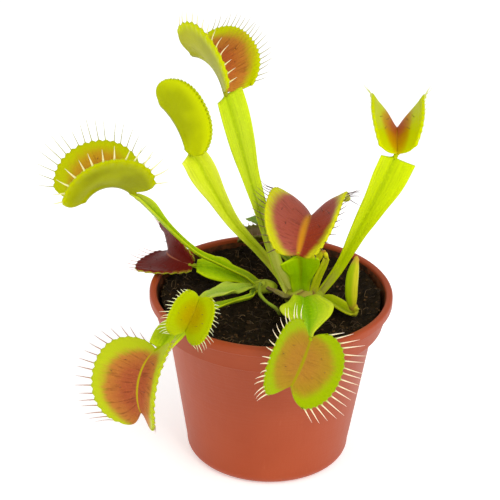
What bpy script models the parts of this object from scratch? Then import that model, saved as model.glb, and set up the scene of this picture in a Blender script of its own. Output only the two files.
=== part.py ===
"""Venus flytrap growing in a round terracotta-coloured plastic nursery pot.

The pot stands on z = 0 with its axis on the origin, +Z up and -Y to the front.
Each leaf is two pieces: a winged stalk, rooted at a rhizome in the soil, and the
trap that the stalk carries, with both lobes and all their teeth fused in one body.
Lengths are in millimetres here and become metres where a mesh is made.
"""

import math

import bpy
import bmesh
import numpy as np
from mathutils import Vector, noise

MM = 0.001
GAP = 0.3                      # clearance between pieces that touch

# Pot: a tapered wall, a collar and a turned-over lip
POT_HEIGHT = 63.0
RIM_RADIUS = 42.5
LIP_HEIGHT = 3.4
LIP_WIDTH = 2.4
COLLAR_TOP_RADIUS = 41.5
COLLAR_BOTTOM_RADIUS = 39.5
COLLAR_HEIGHT = 11.0
WALL_TOP_RADIUS = 36.4
BASE_RADIUS = 28.9
BASE_FILLET = 3.8
WALL = 1.2
FLOOR = 1.6
STEP_RISE = 0.9                # how far above the outer step the inner one starts
COLLAR_RISE = 1.7              # and where it meets the collar's inner wall
DRAIN_HOLES = 6
DRAIN_RADIUS = 3.0
DRAIN_CIRCLE = 17.0
POT_STEPS = 40

# Soil: a solid filling with a lumpy top
SOIL_TOP = 57.4
SOIL_RINGS = 6
SOIL_LUMP = 0.7
SOIL_LUMP_SIZE = 7.0
SOIL_BANK = 5.6                # how much higher the soil stands against the wall
SOIL_DISH = 2.2                # how deep it dips round the plant
SOIL_DISH_CENTRE = (7.0, 7.0)
SOIL_DISH_RADIUS = 15.0

# Rhizomes: squashed bulbs, given as centre, half sizes and turn about Z
MAIN_RHIZOME = dict(centre=(12.0, 7.2, 56.0), half=(8.0, 6.0, 4.2), turn=0)
BULB_SEGMENTS = 16
BULB_RINGS = 10
SIDE_RHIZOME = dict(centre=(-3.0, 10.2, 58.4), half=(5.6, 2.9, 2.6), turn=12)

# Blades
BLADE_EDGE = 0.8               # thickness at the edges of stalks and lobes
TRAP_RIB = 1.2                 # thickness along a trap's midrib
WINGS_END = 2.6                # how far before the hinge a stalk's wings stop
NECK_START = 1.8
NECK_END = 1.3
NECK_HALF_WIDTH = 0.55
STUB_ROOT = 0.6                # how deep the trap's own half of the neck is sunk into it
TOOTH_RADIUS = 0.34
TOOTH_ROOT = 1.0               # how deep a tooth is sunk into its lobe

# Each leaf. path: the stalk's midrib from the rhizome to the trap's hinge.
# half_widths: (share of the length, half width). face: the way the upper side
# looks, at the root and at the hinge. fold: how far the wings rise, degrees.
# sweep: how far the wing tips lean forward, degrees. rib: thickness along the midrib.
# trap: aim and face are the compass angle from +X and the elevation of the midrib's
# chord and of the way the trap looks; arch is the midrib's whole bend; opening is
# each lobe's angle from the middle plane, and cup how much it curls, with far_cup at
# the far end where that differs; fan spreads the lobes past the midrib; ends is their
# width at the hinge end and at the far end, as a share. bud: a young trap whose lobes are still pressed together in one thick blade.
LEAVES = {
    "left": dict(
        path=[(-5.0, 10.4, 59.4), (-8.6, 8.4, 63.5), (-12.7, 6.4, 66.8), (-19.0, 3.6, 71.6),
              (-25.9, 2.0, 76.1), (-35.4, 1.6, 85.5), (-44.3, 3.0, 94.5), (-49.0, 4.0, 97.5)],
        half_widths=[(0.0, 1.5), (0.35, 1.3), (0.78, 1.2), (0.9, 2.3), (1.0, 0.9)],
        face=((0.2, -0.5, 0.8), (0.5, -0.3, 0.8)), fold=30, sweep=0, rib=1.5,
        trap=dict(aim=(-163, -6), face=(145, 80), length=19.0, arch=100, width=18.5,
                  opening=(47, 53), cup=7, fan=13, ends=(0.53, 0.68), teeth=13, tooth=6.5)),
    "closed": dict(
        path=[(7.0, 11.5, 57.0), (1.2, 13.0, 64.5), (-4.2, 11.5, 71.8), (-13.9, 9.0, 84.2),
              (-20.9, 6.8, 97.4), (-26.1, 4.8, 108.5), (-30.0, 4.0, 114.0)],
        half_widths=[(0.0, 1.7), (0.4, 2.0), (0.7, 3.5), (0.92, 5.3), (1.0, 4.8)],
        face=((0.0, -0.9, 0.3), (0.1, -0.9, 0.3)), fold=28, sweep=6, rib=1.7,
        trap=dict(aim=(131, 40), face=(-21, 47), length=18.5, arch=37, width=13.3,
                  opening=(6, 6), cup=16, fan=28, ends=(0.47, 0.55), teeth=13, tooth=1.0)),
    "tall": dict(
        path=[(6.8, 8.0, 57.0), (2.3, 9.0, 66.5), (-0.4, 10.2, 73.8), (-5.3, 12.4, 89.3),
              (-9.4, 13.0, 103.1), (-13.3, 13.4, 117.2), (-17.5, 14.0, 131.5)],
        half_widths=[(0.0, 2.3), (0.35, 2.6), (0.6, 3.6), (0.93, 6.4), (1.0, 6.2)],
        face=((0.4, -0.9, 0.2), (0.45, -0.85, 0.3)), fold=30, sweep=10, rib=1.8,
        trap=dict(aim=(128, 21), face=(-33, 68), length=21.5, arch=75, width=15.8,
                  opening=(30, 51), cup=15, fan=0, ends=(0.59, 0.66), teeth=12, tooth=4.8)),
    "right": dict(
        path=[(16.6, 7.4, 57.0), (19.4, 7.2, 61.4), (23.9, 7.7, 69.1), (29.8, 8.4, 82.2),
              (35.6, 9.1, 95.5), (39.6, 9.8, 105.5), (42.0, 10.0, 111.5)],
        half_widths=[(0.0, 1.5), (0.3, 2.3), (0.6, 4.4), (0.9, 7.4), (1.0, 7.2)],
        face=((0.3, -0.9, 0.1), (0.3, -0.9, 0.2)), fold=26, sweep=9, rib=1.8,
        trap=dict(aim=(87, 0), face=(-178, 85), length=20.0, arch=53, width=14.6,
                  opening=(33, 40), cup=14, far_cup=-8, fan=16, ends=(0.72, 1.06), teeth=12, tooth=3.0)),
    "centre": dict(
        path=[(10.5, 6.6, 57.5), (10.3, 4.2, 64.5), (10.0, 0.6, 71.2), (9.0, -4.0, 79.0)],
        half_widths=[(0.0, 2.6), (0.5, 4.3), (0.92, 6.8), (1.0, 6.8)],
        face=((0.0, -0.9, 0.2), (0.0, -0.9, 0.4)), fold=20, sweep=8, rib=1.8,
        trap=dict(aim=(78, 6), face=(-75, 83), length=25.0, arch=87, width=16.3,
                  opening=(57, 46), cup=17, far_cup=-30, fan=10, ends=(0.50, 0.88), teeth=13, tooth=4.5)),
    "maroon": dict(
        path=[(-6.0, 10.8, 58.4), (-9.8, 11.4, 60.2), (-17.4, 10.0, 64.6),
              (-23.2, 9.0, 66.3), (-28.5, 8.5, 67.3)],
        half_widths=[(0.0, 0.9), (0.25, 1.5), (0.55, 4.1), (0.85, 3.6), (1.0, 2.4)],
        face=((0.0, -0.6, 0.7), (0.0, -0.6, 0.7)), fold=8, sweep=8, rib=1.4,
        trap=dict(aim=(113, -11), face=(-160, 13), length=22.5, arch=72, width=13.5,
                  opening=(25, 67), cup=19, fan=32, ends=(0.40, 0.57), teeth=11, tooth=3.8)),
    "small": dict(
        path=[(-5.6, 9.2, 59.2), (-8.6, 4.4, 61.8), (-12.2, -2.0, 64.0), (-15.7, -11.5, 68.0),
              (-19.7, -25.0, 74.6), (-24.0, -39.0, 79.4)],
        half_widths=[(0.0, 0.9), (0.25, 2.4), (0.5, 3.4), (0.75, 2.0), (1.0, 0.8)],
        face=((0.0, -0.3, 0.9), (0.2, -0.3, 0.9)), fold=10, sweep=0, rib=1.4,
        trap=dict(aim=(-148, -64), face=(-84, 12), length=11.7, arch=27, width=10.2,
                  opening=(30, 54), cup=9, fan=13, ends=(0.59, 0.57), teeth=11, tooth=2.6)),
    "hanging": dict(
        path=[(-4.6, 9.0, 58.0), (-6.4, 4.4, 59.6), (-7.2, -0.6, 60.8), (-14.2, -11.0, 64.0),
              (-23.6, -23.5, 66.4), (-32.0, -34.5, 65.3), (-38.0, -44.0, 62.0)],
        half_widths=[(0.0, 0.9), (0.45, 1.1), (0.7, 3.4), (0.9, 5.0), (1.0, 3.6)],
        face=((0.0, -0.2, 0.9), (0.1, -0.1, 0.9)), fold=14, sweep=10, rib=1.4,
        trap=dict(aim=(-112, -53), face=(-138, 34), length=21.5, arch=87, width=16.2,
                  opening=(62, 66), cup=5, fan=23, ends=(0.25, 0.59), teeth=13, tooth=5.0)),
    "front": dict(
        path=[(11.5, 4.6, 57.4), (11.6, -2.0, 61.2), (11.9, -12.0, 63.4), (12.4, -26.0, 65.8),
              (12.5, -46.0, 69.0)],
        half_widths=[(0.0, 2.4), (0.12, 3.6), (0.3, 6.2), (0.46, 9.5), (0.56, 8.9), (0.75, 4.4), (0.92, 1.3),
                     (1.0, 1.0)],
        face=((0.0, -0.2, 0.9), (0.0, 0.0, 1.0)), fold=10, sweep=0, rib=1.8,
        trap=dict(aim=(-124, -50), face=(-68, 25), length=16.3, arch=36, width=13.9,
                  opening=(84, 67), cup=17, fan=37, ends=(0.48, 0.63), teeth=13, tooth=6.0)),
    "rim": dict(
        path=[(11.0, 11.4, 56.6), (10.4, 15.4, 59.2), (8.0, 21.0, 61.6), (2.2, 29.0, 64.2),
              (-1.6, 34.0, 65.3)],
        half_widths=[(0.0, 0.9), (0.6, 1.3), (1.0, 1.0)],
        face=((0.0, -0.2, 0.9), (0.0, -0.2, 0.9)), fold=20, sweep=0, rib=1.3,
        trap=dict(aim=(176, -10), face=(-105, 62), length=8.5, arch=24, width=5.2,
                  opening=(24, 36), cup=12, fan=20, ends=(0.6, 0.6), teeth=7, tooth=2.2)),
    "young": dict(
        path=[(16.2, 4.4, 57.4), (19.0, 0.0, 60.0), (23.5, -6.0, 60.6), (28.0, -11.0, 60.4),
              (29.0, -12.0, 62.8)],
        half_widths=[(0.0, 1.1), (0.4, 2.3), (0.8, 2.3), (1.0, 1.4)],
        face=((0.0, -0.2, 0.9), (0.0, -0.2, 0.9)), fold=14, sweep=0, rib=1.3,
        bud=dict(aim=(0, 89), face=(-170, 0), length=18.6, arch=5, width=3.5, fan=3,
                 ends=(0.6, 0.5), thick=1.9)),
    "folded": dict(
        path=[(14.6, 5.8, 58.0), (16.4, 5.0, 65.2), (18.9, 4.6, 72.6), (18.4, 4.4, 75.2)],
        half_widths=[(0.0, 1.2), (0.5, 1.4), (1.0, 1.0)],
        face=((0.2, -0.9, 0.0), (0.2, -0.9, 0.0)), fold=14, sweep=0, rib=1.2,
        bud=dict(aim=(152, -60), face=(165, 30), length=7.6, arch=12, width=2.6, fan=8,
                 ends=(0.5, 0.5), thick=1.7)),
    "back": dict(
        path=[(14.6, 10.6, 57.2), (12.6, 15.4, 63.4), (4.4, 18.6, 71.6), (-2.0, 18.0, 78.6)],
        half_widths=[(0.0, 1.1), (0.6, 1.3), (1.0, 0.9)],
        face=((0.0, -0.9, 0.3), (0.0, -0.9, 0.3)), fold=14, sweep=0, rib=1.2,
        bud=dict(aim=(172, 12), face=(82, 70), length=7.0, arch=16, width=3.0, fan=12,
                 ends=(0.5, 0.5), thick=1.7)),
}
STALK_STATIONS = 9
STALK_COLUMNS = 2              # faces across each wing
TRAP_STATIONS = 9
TRAP_COLUMNS = 3               # faces across each lobe
TRAP_SHAPE = 2.5               # how square the lobes' outline is
BUD_WEIGHTS = (0.75, 1.0, 0.8, 0.4)   # a bud's thickness from midrib to margin, as a share

# A dead leaf on the soil and a thin runner that dips back into it
DEAD_LEAF_PATH = [(7.5, 4.2, 57.4), (4.6, 1.6, 59.6), (1.6, 2.8, 60.8), (-1.4, 5.0, 61.2)]
DEAD_LEAF_HALF_WIDTHS = [(0.0, 0.9), (0.4, 1.2), (1.0, 0.7)]
RUNNER_PATH = [(-3.4, 9.6, 59.4), (-3.9, 5.0, 61.8), (-3.9, 0.0, 60.9), (-1.6, -3.6, 59.8),
               (2.0, -6.0, 58.2), (3.4, -6.6, 55.6)]
RUNNER_RADIUS = 0.6
RUNNER_HOLE_DEPTH = 1.0        # how much deeper than the runner its hole goes


def unit(vector):
    """The same direction at length 1."""
    vector = np.asarray(vector, float)
    return vector / np.linalg.norm(vector)


def compass(angles):
    """Direction from a compass angle and an elevation in degrees."""
    turn, rise = np.radians(angles)
    return np.array([math.cos(rise) * math.cos(turn), math.cos(rise) * math.sin(turn), math.sin(rise)])


def smooth_path(points, lengths_from_end, count):
    """Points spaced evenly along a smooth curve through the given ones.

    The last samples lie at the given distances before the curve's end.
    """
    knots = np.array(points, float)
    padded = np.vstack([2 * knots[0] - knots[1], knots, 2 * knots[-1] - knots[-2]])
    fine = []
    for before, start, end, after in zip(padded, padded[1:], padded[2:], padded[3:]):
        for t in np.linspace(0, 1, 24, endpoint=False):
            fine.append(0.5 * (2 * start + (end - before) * t
                               + (2 * before - 5 * start + 4 * end - after) * t ** 2
                               + (3 * start - before - 3 * end + after) * t ** 3))
    fine = np.array(fine + [knots[-1]])
    run = np.concatenate([[0], np.cumsum(np.linalg.norm(np.diff(fine, axis=0), axis=1))])
    tail = [run[-1] - length for length in lengths_from_end]
    places = np.concatenate([np.linspace(0, tail[0] if tail else run[-1], count), tail[1:]])
    samples = np.stack([np.interp(places, run, fine[:, axis]) for axis in range(3)], axis=1)
    ahead = np.stack([np.interp(places + 0.4, run, fine[:, axis]) for axis in range(3)], axis=1)
    behind = np.stack([np.interp(places - 0.4, run, fine[:, axis]) for axis in range(3)], axis=1)
    tangents = np.array([unit(step) for step in ahead - behind])
    return samples, tangents


def smooth_values(pairs, places):
    """Values at the given places on a smooth curve through (place, value) pairs."""
    x, y = np.array(pairs, float).T
    slopes = np.gradient(y, x)
    index = np.clip(np.searchsorted(x, places, side="right") - 1, 0, len(x) - 2)
    step = x[index + 1] - x[index]
    t = (places - x[index]) / step
    return ((2 * t ** 3 - 3 * t ** 2 + 1) * y[index] + (t ** 3 - 2 * t ** 2 + t) * step * slopes[index]
            + (3 * t ** 2 - 2 * t ** 3) * y[index + 1] + (t ** 3 - t ** 2) * step * slopes[index + 1])


def smoothstep(low, high, value):
    """0 below low, 1 above high, and an S curve between."""
    t = min(max((value - low) / (high - low), 0), 1)
    return t * t * (3 - 2 * t)


def stalk_surface(leaf):
    """Grid over a stalk's upper side, root to hinge by edge to edge, and its lower side."""
    path, tangents = smooth_path(leaf["path"], (WINGS_END, NECK_START, NECK_END), STALK_STATIONS)
    share = np.linspace(0, 1, STALK_STATIONS)
    widths = np.concatenate([smooth_values(leaf["half_widths"], share), [NECK_HALF_WIDTH] * 2])
    share = np.concatenate([share, [1, 1]])
    sweep = np.radians(leaf["sweep"]) * np.clip((share - 0.6) / 0.4, 0, 1) ** 2
    sweep[STALK_STATIONS:] = 0
    fold = math.radians(leaf["fold"])
    columns = np.linspace(-1, 1, 2 * STALK_COLUMNS + 1)
    upper = np.empty((len(path), len(columns), 3))
    lower = np.empty_like(upper)
    for row, (point, along) in enumerate(zip(path, tangents)):
        up = (1 - share[row]) * np.array(leaf["face"][0]) + share[row] * np.array(leaf["face"][1])
        up = unit(up - (up @ along) * along)
        across = np.cross(along, up)
        for column, place in enumerate(columns):
            wing = math.cos(fold) * np.sign(place) * across + math.sin(fold) * up
            lean = math.cos(sweep[row]) * wing + math.sin(sweep[row]) * along
            thickness = BLADE_EDGE + (leaf["rib"] - BLADE_EDGE) * (1 - abs(place)) ** 1.5
            upper[row, column] = point + abs(place) * widths[row] * lean
            lower[row, column] = upper[row, column] - thickness * up
    return upper, lower


def trap_frame(trap):
    """The midrib chord's direction and the way the trap looks, at right angles."""
    aim = compass(trap["aim"])
    face = compass(trap["face"])
    return aim, unit(face - (face @ aim) * aim)


def trap_surface(hinge, trap, stations):
    """Grid over both lobes, hinge to far end by left margin, midrib, right margin."""
    aim, face = trap_frame(trap)
    side = np.cross(aim, face)
    arch = math.radians(trap["arch"])
    fine = np.linspace(0, 1, 61)
    bend = arch * (fine - 0.5)
    along = np.outer(np.cos(bend), aim) - np.outer(np.sin(bend), face)
    steps = (along[1:] + along[:-1]) / 2 * trap["length"] / 60
    midrib = np.vstack([np.zeros(3), np.cumsum(steps, axis=0)]) + hinge
    grid = np.empty((len(stations), 2 * TRAP_COLUMNS + 1, 3))
    for row, place in enumerate(stations):
        bend = arch * (place - 0.5)
        along = math.cos(bend) * aim - math.sin(bend) * face
        outward = math.cos(bend) * face + math.sin(bend) * aim
        spread = math.radians(trap["fan"]) * (2 * place - 1)
        end = trap["ends"][0] if place < 0.5 else trap["ends"][1]
        width = trap["width"] * (1 - (1 - end) * abs(2 * place - 1) ** TRAP_SHAPE)
        start = [np.interp(place, fine, midrib[:, axis]) for axis in range(3)]
        curl = trap["cup"] + (trap.get("far_cup", trap["cup"]) - trap["cup"]) * smoothstep(0.45, 1.0, place)
        for sign, opening in zip((-1, 1), trap["opening"]):
            point = np.array(start)
            grid[row, TRAP_COLUMNS] = point
            for column in range(TRAP_COLUMNS):
                middle = (column + 0.5) / TRAP_COLUMNS
                angle = math.radians(opening + curl * (1 - 2 * middle))
                across = math.cos(angle) * outward + sign * math.sin(angle) * side
                step = math.cos(spread) * across + math.sin(spread) * along
                point = point + step * width / TRAP_COLUMNS
                grid[row, TRAP_COLUMNS + sign * (column + 1)] = point
    return grid


def grid_faces(rows, columns):
    """Triangles over a grid of points, split alike on both sides of the midrib."""
    faces = []
    for row in range(rows - 1):
        for column in range(columns - 1):
            a = row * columns + column
            b = a + 1
            c = a + columns + 1
            d = a + columns
            if column < columns // 2:
                faces += [(a, b, d), (b, c, d)]
            else:
                faces += [(a, b, c), (a, c, d)]
    return faces


def make_stalk(name, leaf, material, collection):
    """A stalk: a closed loft between its upper and its lower side."""
    upper, lower = stalk_surface(leaf)
    rows, columns = upper.shape[:2]
    count = rows * columns
    faces = grid_faces(rows, columns)
    faces += [tuple(count + index for index in face[::-1]) for face in faces]
    rim = list(range(columns)) + [row * columns + columns - 1 for row in range(1, rows)]
    rim += [count - 1 - column for column in range(1, columns)]
    rim += [row * columns for row in range(rows - 2, 0, -1)]
    for here, there in zip(rim, rim[1:] + rim[:1]):
        faces += [(there, here, count + here), (there, count + here, count + there)]
    points = np.vstack([upper.reshape(-1, 3), lower.reshape(-1, 3)])
    mesh = bpy.data.meshes.new(name)
    mesh.from_pydata([tuple(point * MM) for point in points], [], faces)
    obj = bpy.data.objects.new(name, mesh)
    collection.objects.link(obj)
    mesh.materials.append(material)
    mesh.shade_smooth()
    mesh.set_sharp_from_angle(angle=math.radians(50))
    return obj


def blade(name, grid, thick, weights, material, collection):
    """A blade over a grid; each column's thickness is its weight's share of thick."""
    rows, columns = grid.shape[:2]
    mesh = bpy.data.meshes.new(name)
    mesh.from_pydata([tuple(point * MM) for point in grid.reshape(-1, 3)], [], grid_faces(rows, columns))
    obj = bpy.data.objects.new(name, mesh)
    collection.objects.link(obj)
    mesh.materials.append(material)
    group = obj.vertex_groups.new(name="thickness")
    for index in range(rows * columns):
        group.add([index], weights[index % columns], "REPLACE")
    solidify = obj.modifiers.new("Thickness", "SOLIDIFY")
    solidify.thickness = thick * MM
    solidify.offset = 0
    solidify.vertex_group = "thickness"
    mesh.shade_smooth()
    return obj


def add_spine(mesh, root, direction, bend, length, radius):
    """Adds one three-sided spine that curves towards bend to a bmesh."""
    side = unit(np.cross(direction, bend))
    up = np.cross(side, direction)
    rings = []
    for share, size in ((0.0, 1.0), (0.5, 0.75)):
        centre = root + direction * length * share + bend * length * 0.25 * share ** 2
        ring = []
        for corner in range(3):
            angle = 2 * math.pi * corner / 3
            offset = radius * size * (math.cos(angle) * side + math.sin(angle) * up)
            ring.append(mesh.verts.new((centre + offset) * MM))
        rings.append(ring)
    tip = mesh.verts.new((root + direction * length + bend * length * 0.25) * MM)
    mesh.faces.new(rings[0][::-1])
    for a, b in ((0, 1), (1, 2), (2, 0)):
        mesh.faces.new((rings[0][a], rings[0][b], rings[1][b], rings[1][a]))
        mesh.faces.new((rings[1][a], rings[1][b], tip))


def trap_teeth(hinge, trap):
    """All of a trap's teeth, as loose closed spines."""
    _, face = trap_frame(trap)
    mesh = bmesh.new()
    count = trap["teeth"]
    grid = trap_surface(hinge, trap, (np.arange(count) + 0.5) / count)
    for row in range(count):
        for edge, inner in ((0, 1), (-1, -2)):
            direction = unit(grid[row, edge] - grid[row, inner])
            root = grid[row, edge] - direction * TOOTH_ROOT
            bend = unit(face - (face @ direction) * direction)
            add_spine(mesh, root, direction, bend, trap["tooth"] + TOOTH_ROOT, TOOTH_RADIUS)
    bmesh.ops.recalc_face_normals(mesh, faces=mesh.faces)
    data = bpy.data.meshes.new("teeth")
    mesh.to_mesh(data)
    mesh.free()
    return data


def hinge_stub(leaf, collection):
    """The narrow neck between trap and stalk, on the trap's side."""
    path, tangents = smooth_path(leaf["path"], (), 2)
    hinge = path[-1]
    along = tangents[-1]
    mesh = bmesh.new()
    length = NECK_END - GAP + STUB_ROOT
    turn = Vector(along).to_track_quat("Z", "Y").to_matrix().to_4x4()
    turn.translation = Vector((hinge + along * (STUB_ROOT - length / 2)) * MM)
    bmesh.ops.create_cone(mesh, cap_ends=True, segments=6, radius1=NECK_HALF_WIDTH * MM,
                          radius2=NECK_HALF_WIDTH * MM, depth=length * MM, matrix=turn)
    data = bpy.data.meshes.new("stub")
    mesh.to_mesh(data)
    mesh.free()
    obj = bpy.data.objects.new("stub", data)
    collection.objects.link(obj)
    return obj


def make_material(name, colour, roughness):
    """A Principled material whose settings are its base colour and roughness."""
    material = bpy.data.materials.new(name)
    material.use_nodes = True
    shader = material.node_tree.nodes["Principled BSDF"]
    shader.inputs["Base Color"].default_value = (*colour, 1)
    shader.inputs["Roughness"].default_value = roughness
    shader.inputs["Metallic"].default_value = 0
    material.diffuse_color = (*colour, 1)
    return material


def apply_modifiers(obj):
    """Swaps an object's mesh for the one that its modifiers make."""
    bpy.context.view_layer.update()
    evaluated = obj.evaluated_get(bpy.context.evaluated_depsgraph_get())
    mesh = bpy.data.meshes.new_from_object(evaluated)
    obj.modifiers.clear()
    obj.data = mesh


def turned(name, profile, steps, material, collection):
    """A solid turned about Z from a profile that runs from top to bottom."""
    mesh = bpy.data.meshes.new(name)
    edges = [(index, index + 1) for index in range(len(profile) - 1)]
    mesh.from_pydata([(radius * MM, 0, height * MM) for radius, height in profile], edges, [])
    obj = bpy.data.objects.new(name, mesh)
    collection.objects.link(obj)
    mesh.materials.append(material)
    screw = obj.modifiers.new("Turn", "SCREW")
    screw.steps = steps
    screw.render_steps = steps
    screw.use_merge_vertices = True
    screw.merge_threshold = 0.00001
    return obj


def arc(centre, radius, start, end, count):
    """Points on an arc in the profile plane, angles in degrees from +X."""
    x, y = centre
    angles = np.radians(np.linspace(start, end, count))
    return [(x + radius * math.cos(angle), y + radius * math.sin(angle)) for angle in angles]


def pot_profile():
    """The pot's section, from the floor's middle up inside, over the lip and down outside."""
    step = POT_HEIGHT - COLLAR_HEIGHT
    fillet_inner = BASE_FILLET - WALL
    inner_base = BASE_RADIUS - WALL
    lip_round = LIP_WIDTH / 2 - 0.3
    inside = [(0, FLOOR)]
    inside += arc((inner_base - fillet_inner, FLOOR + fillet_inner), fillet_inner, -90, -10, 3)
    inside += [(WALL_TOP_RADIUS - WALL, step + STEP_RISE), (COLLAR_BOTTOM_RADIUS - WALL, step + COLLAR_RISE)]
    inside += [(RIM_RADIUS - LIP_WIDTH, POT_HEIGHT - lip_round)]
    lip = arc((RIM_RADIUS - LIP_WIDTH + lip_round, POT_HEIGHT - lip_round), lip_round, 135, 90, 2)
    lip += arc((RIM_RADIUS - lip_round, POT_HEIGHT - lip_round), lip_round, 90, 0, 3)
    outside = [(RIM_RADIUS, POT_HEIGHT - LIP_HEIGHT + 0.4), (RIM_RADIUS - 0.4, POT_HEIGHT - LIP_HEIGHT)]
    outside += [(COLLAR_TOP_RADIUS, POT_HEIGHT - LIP_HEIGHT), (COLLAR_BOTTOM_RADIUS, step + 0.3)]
    outside += [(COLLAR_BOTTOM_RADIUS - 0.3, step), (WALL_TOP_RADIUS, step)]
    outside += arc((BASE_RADIUS - BASE_FILLET, BASE_FILLET), BASE_FILLET, 0, -90, 4)
    return inside + lip + outside + [(0, 0)]


def make_pot(material, collection, cutters):
    """The pot, with its ring of drain holes."""
    pot = turned("pot", pot_profile(), POT_STEPS, material, collection)
    for index in range(DRAIN_HOLES):
        angle = 2 * math.pi * index / DRAIN_HOLES
        cutter = add_cutter(cutters, f"drain_{index}")
        mesh = bmesh.new()
        bmesh.ops.create_cone(mesh, cap_ends=True, segments=12, radius1=DRAIN_RADIUS * MM,
                              radius2=DRAIN_RADIUS * MM, depth=4 * FLOOR * MM)
        mesh.to_mesh(cutter.data)
        mesh.free()
        cutter.location = (DRAIN_CIRCLE * math.cos(angle) * MM, DRAIN_CIRCLE * math.sin(angle) * MM, 0)
        cut(pot, cutter)
    pot.data.shade_smooth()
    pot.data.set_sharp_from_angle(angle=math.radians(35))
    return pot


def add_cutter(cutters, name):
    """An empty-meshed cutter that stays out of the render."""
    obj = bpy.data.objects.new(name, bpy.data.meshes.new(name))
    cutters.objects.link(obj)
    obj.hide_render = True
    obj.display_type = "WIRE"
    return obj


def cut(obj, cutter):
    """Takes a cutter's shape out of an object."""
    modifier = obj.modifiers.new("Cut " + cutter.name, "BOOLEAN")
    modifier.operation = "DIFFERENCE"
    modifier.solver = "EXACT"
    modifier.object = cutter


def fill_bulb(mesh_data, bulb, grow):
    """Fills a mesh with a bulb's squashed sphere, larger all round by grow."""
    mesh = bmesh.new()
    bmesh.ops.create_uvsphere(mesh, u_segments=BULB_SEGMENTS, v_segments=BULB_RINGS, radius=1)
    turn = math.radians(bulb["turn"])
    for vertex in mesh.verts:
        x, y, z = (value * (half + grow) for value, half in zip(vertex.co, bulb["half"]))
        vertex.co = (Vector(bulb["centre"]) + Vector((x * math.cos(turn) - y * math.sin(turn),
                                                       x * math.sin(turn) + y * math.cos(turn), z))) * MM
    mesh.to_mesh(mesh_data)
    mesh.free()
    mesh_data.shade_smooth()


def make_rhizome(name, bulb, material, collection):
    """A bulb that leaves grow from."""
    obj = bpy.data.objects.new(name, bpy.data.meshes.new(name))
    collection.objects.link(obj)
    fill_bulb(obj.data, bulb, 0)
    obj.data.materials.append(material)
    return obj


def soil_height(x, y):
    """Height of the soil's top at a place, with lumps and a bank at the wall."""
    reach = math.hypot(x, y) / RIM_RADIUS
    place = Vector((x, y, 0)) / SOIL_LUMP_SIZE
    lump = noise.noise(place) + 0.5 * noise.noise(2 * place)
    dish = math.dist((x, y), SOIL_DISH_CENTRE) / SOIL_DISH_RADIUS
    return SOIL_TOP + SOIL_LUMP * lump + SOIL_BANK * reach ** 5 - SOIL_DISH * math.exp(-dish ** 2)


def make_soil(material, collection):
    """The soil, from the pot's floor to its lumpy top."""
    step = POT_HEIGHT - COLLAR_HEIGHT
    inner_base = BASE_RADIUS - WALL - GAP
    inner_collar = COLLAR_BOTTOM_RADIUS - WALL - GAP
    top_radius = inner_collar + (SOIL_TOP - step) / COLLAR_HEIGHT * 1.2 - GAP
    profile = [(top_radius * ring / SOIL_RINGS, SOIL_TOP) for ring in range(SOIL_RINGS + 1)]
    profile += [(inner_collar - 0.1, step + COLLAR_RISE + 0.4)]
    profile += [(WALL_TOP_RADIUS - WALL - GAP, step + STEP_RISE + 0.4)]
    profile += [(inner_base - 0.4, FLOOR + 4), (inner_base - 4.5, FLOOR + GAP), (0, FLOOR + GAP)]
    soil = turned("soil", profile, POT_STEPS, material, collection)
    apply_modifiers(soil)
    for vertex in soil.data.vertices:
        if vertex.co.z > (SOIL_TOP - 0.01) * MM:
            vertex.co.z = soil_height(vertex.co.x / MM, vertex.co.y / MM) * MM
    soil.data.shade_smooth()
    return soil


def make_tube(name, path, radius, material, collection):
    """A thin round stem along a path, as a mesh with closed ends."""
    points, _ = smooth_path(path, (), 12)
    curve = bpy.data.curves.new(name, "CURVE")
    curve.dimensions = "3D"
    curve.bevel_depth = radius * MM
    curve.bevel_resolution = 1
    curve.use_fill_caps = True
    spline = curve.splines.new("POLY")
    spline.points.add(len(points) - 1)
    for target, point in zip(spline.points, points):
        target.co = (*(point * MM), 1)
    guide = bpy.data.objects.new(name + "_curve", curve)
    collection.objects.link(guide)
    bpy.context.view_layer.update()
    evaluated = guide.evaluated_get(bpy.context.evaluated_depsgraph_get())
    mesh = bpy.data.meshes.new_from_object(evaluated)
    bpy.data.objects.remove(guide)
    welded = bmesh.new()
    welded.from_mesh(mesh)
    bmesh.ops.remove_doubles(welded, verts=welded.verts, dist=0.000001)
    welded.to_mesh(mesh)
    welded.free()
    obj = bpy.data.objects.new(name, mesh)
    collection.objects.link(obj)
    mesh.materials.clear()
    mesh.materials.append(material)
    mesh.shade_smooth()
    return obj


def fuse(obj, pieces):
    """Joins the pieces in a collection to an object, and removes them."""
    union = obj.modifiers.new("Fuse", "BOOLEAN")
    union.operation = "UNION"
    union.operand_type = "COLLECTION"
    union.collection = pieces
    union.solver = "EXACT"
    apply_modifiers(obj)
    for piece in list(pieces.objects):
        bpy.data.objects.remove(piece)
    bpy.data.collections.remove(pieces)


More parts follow.
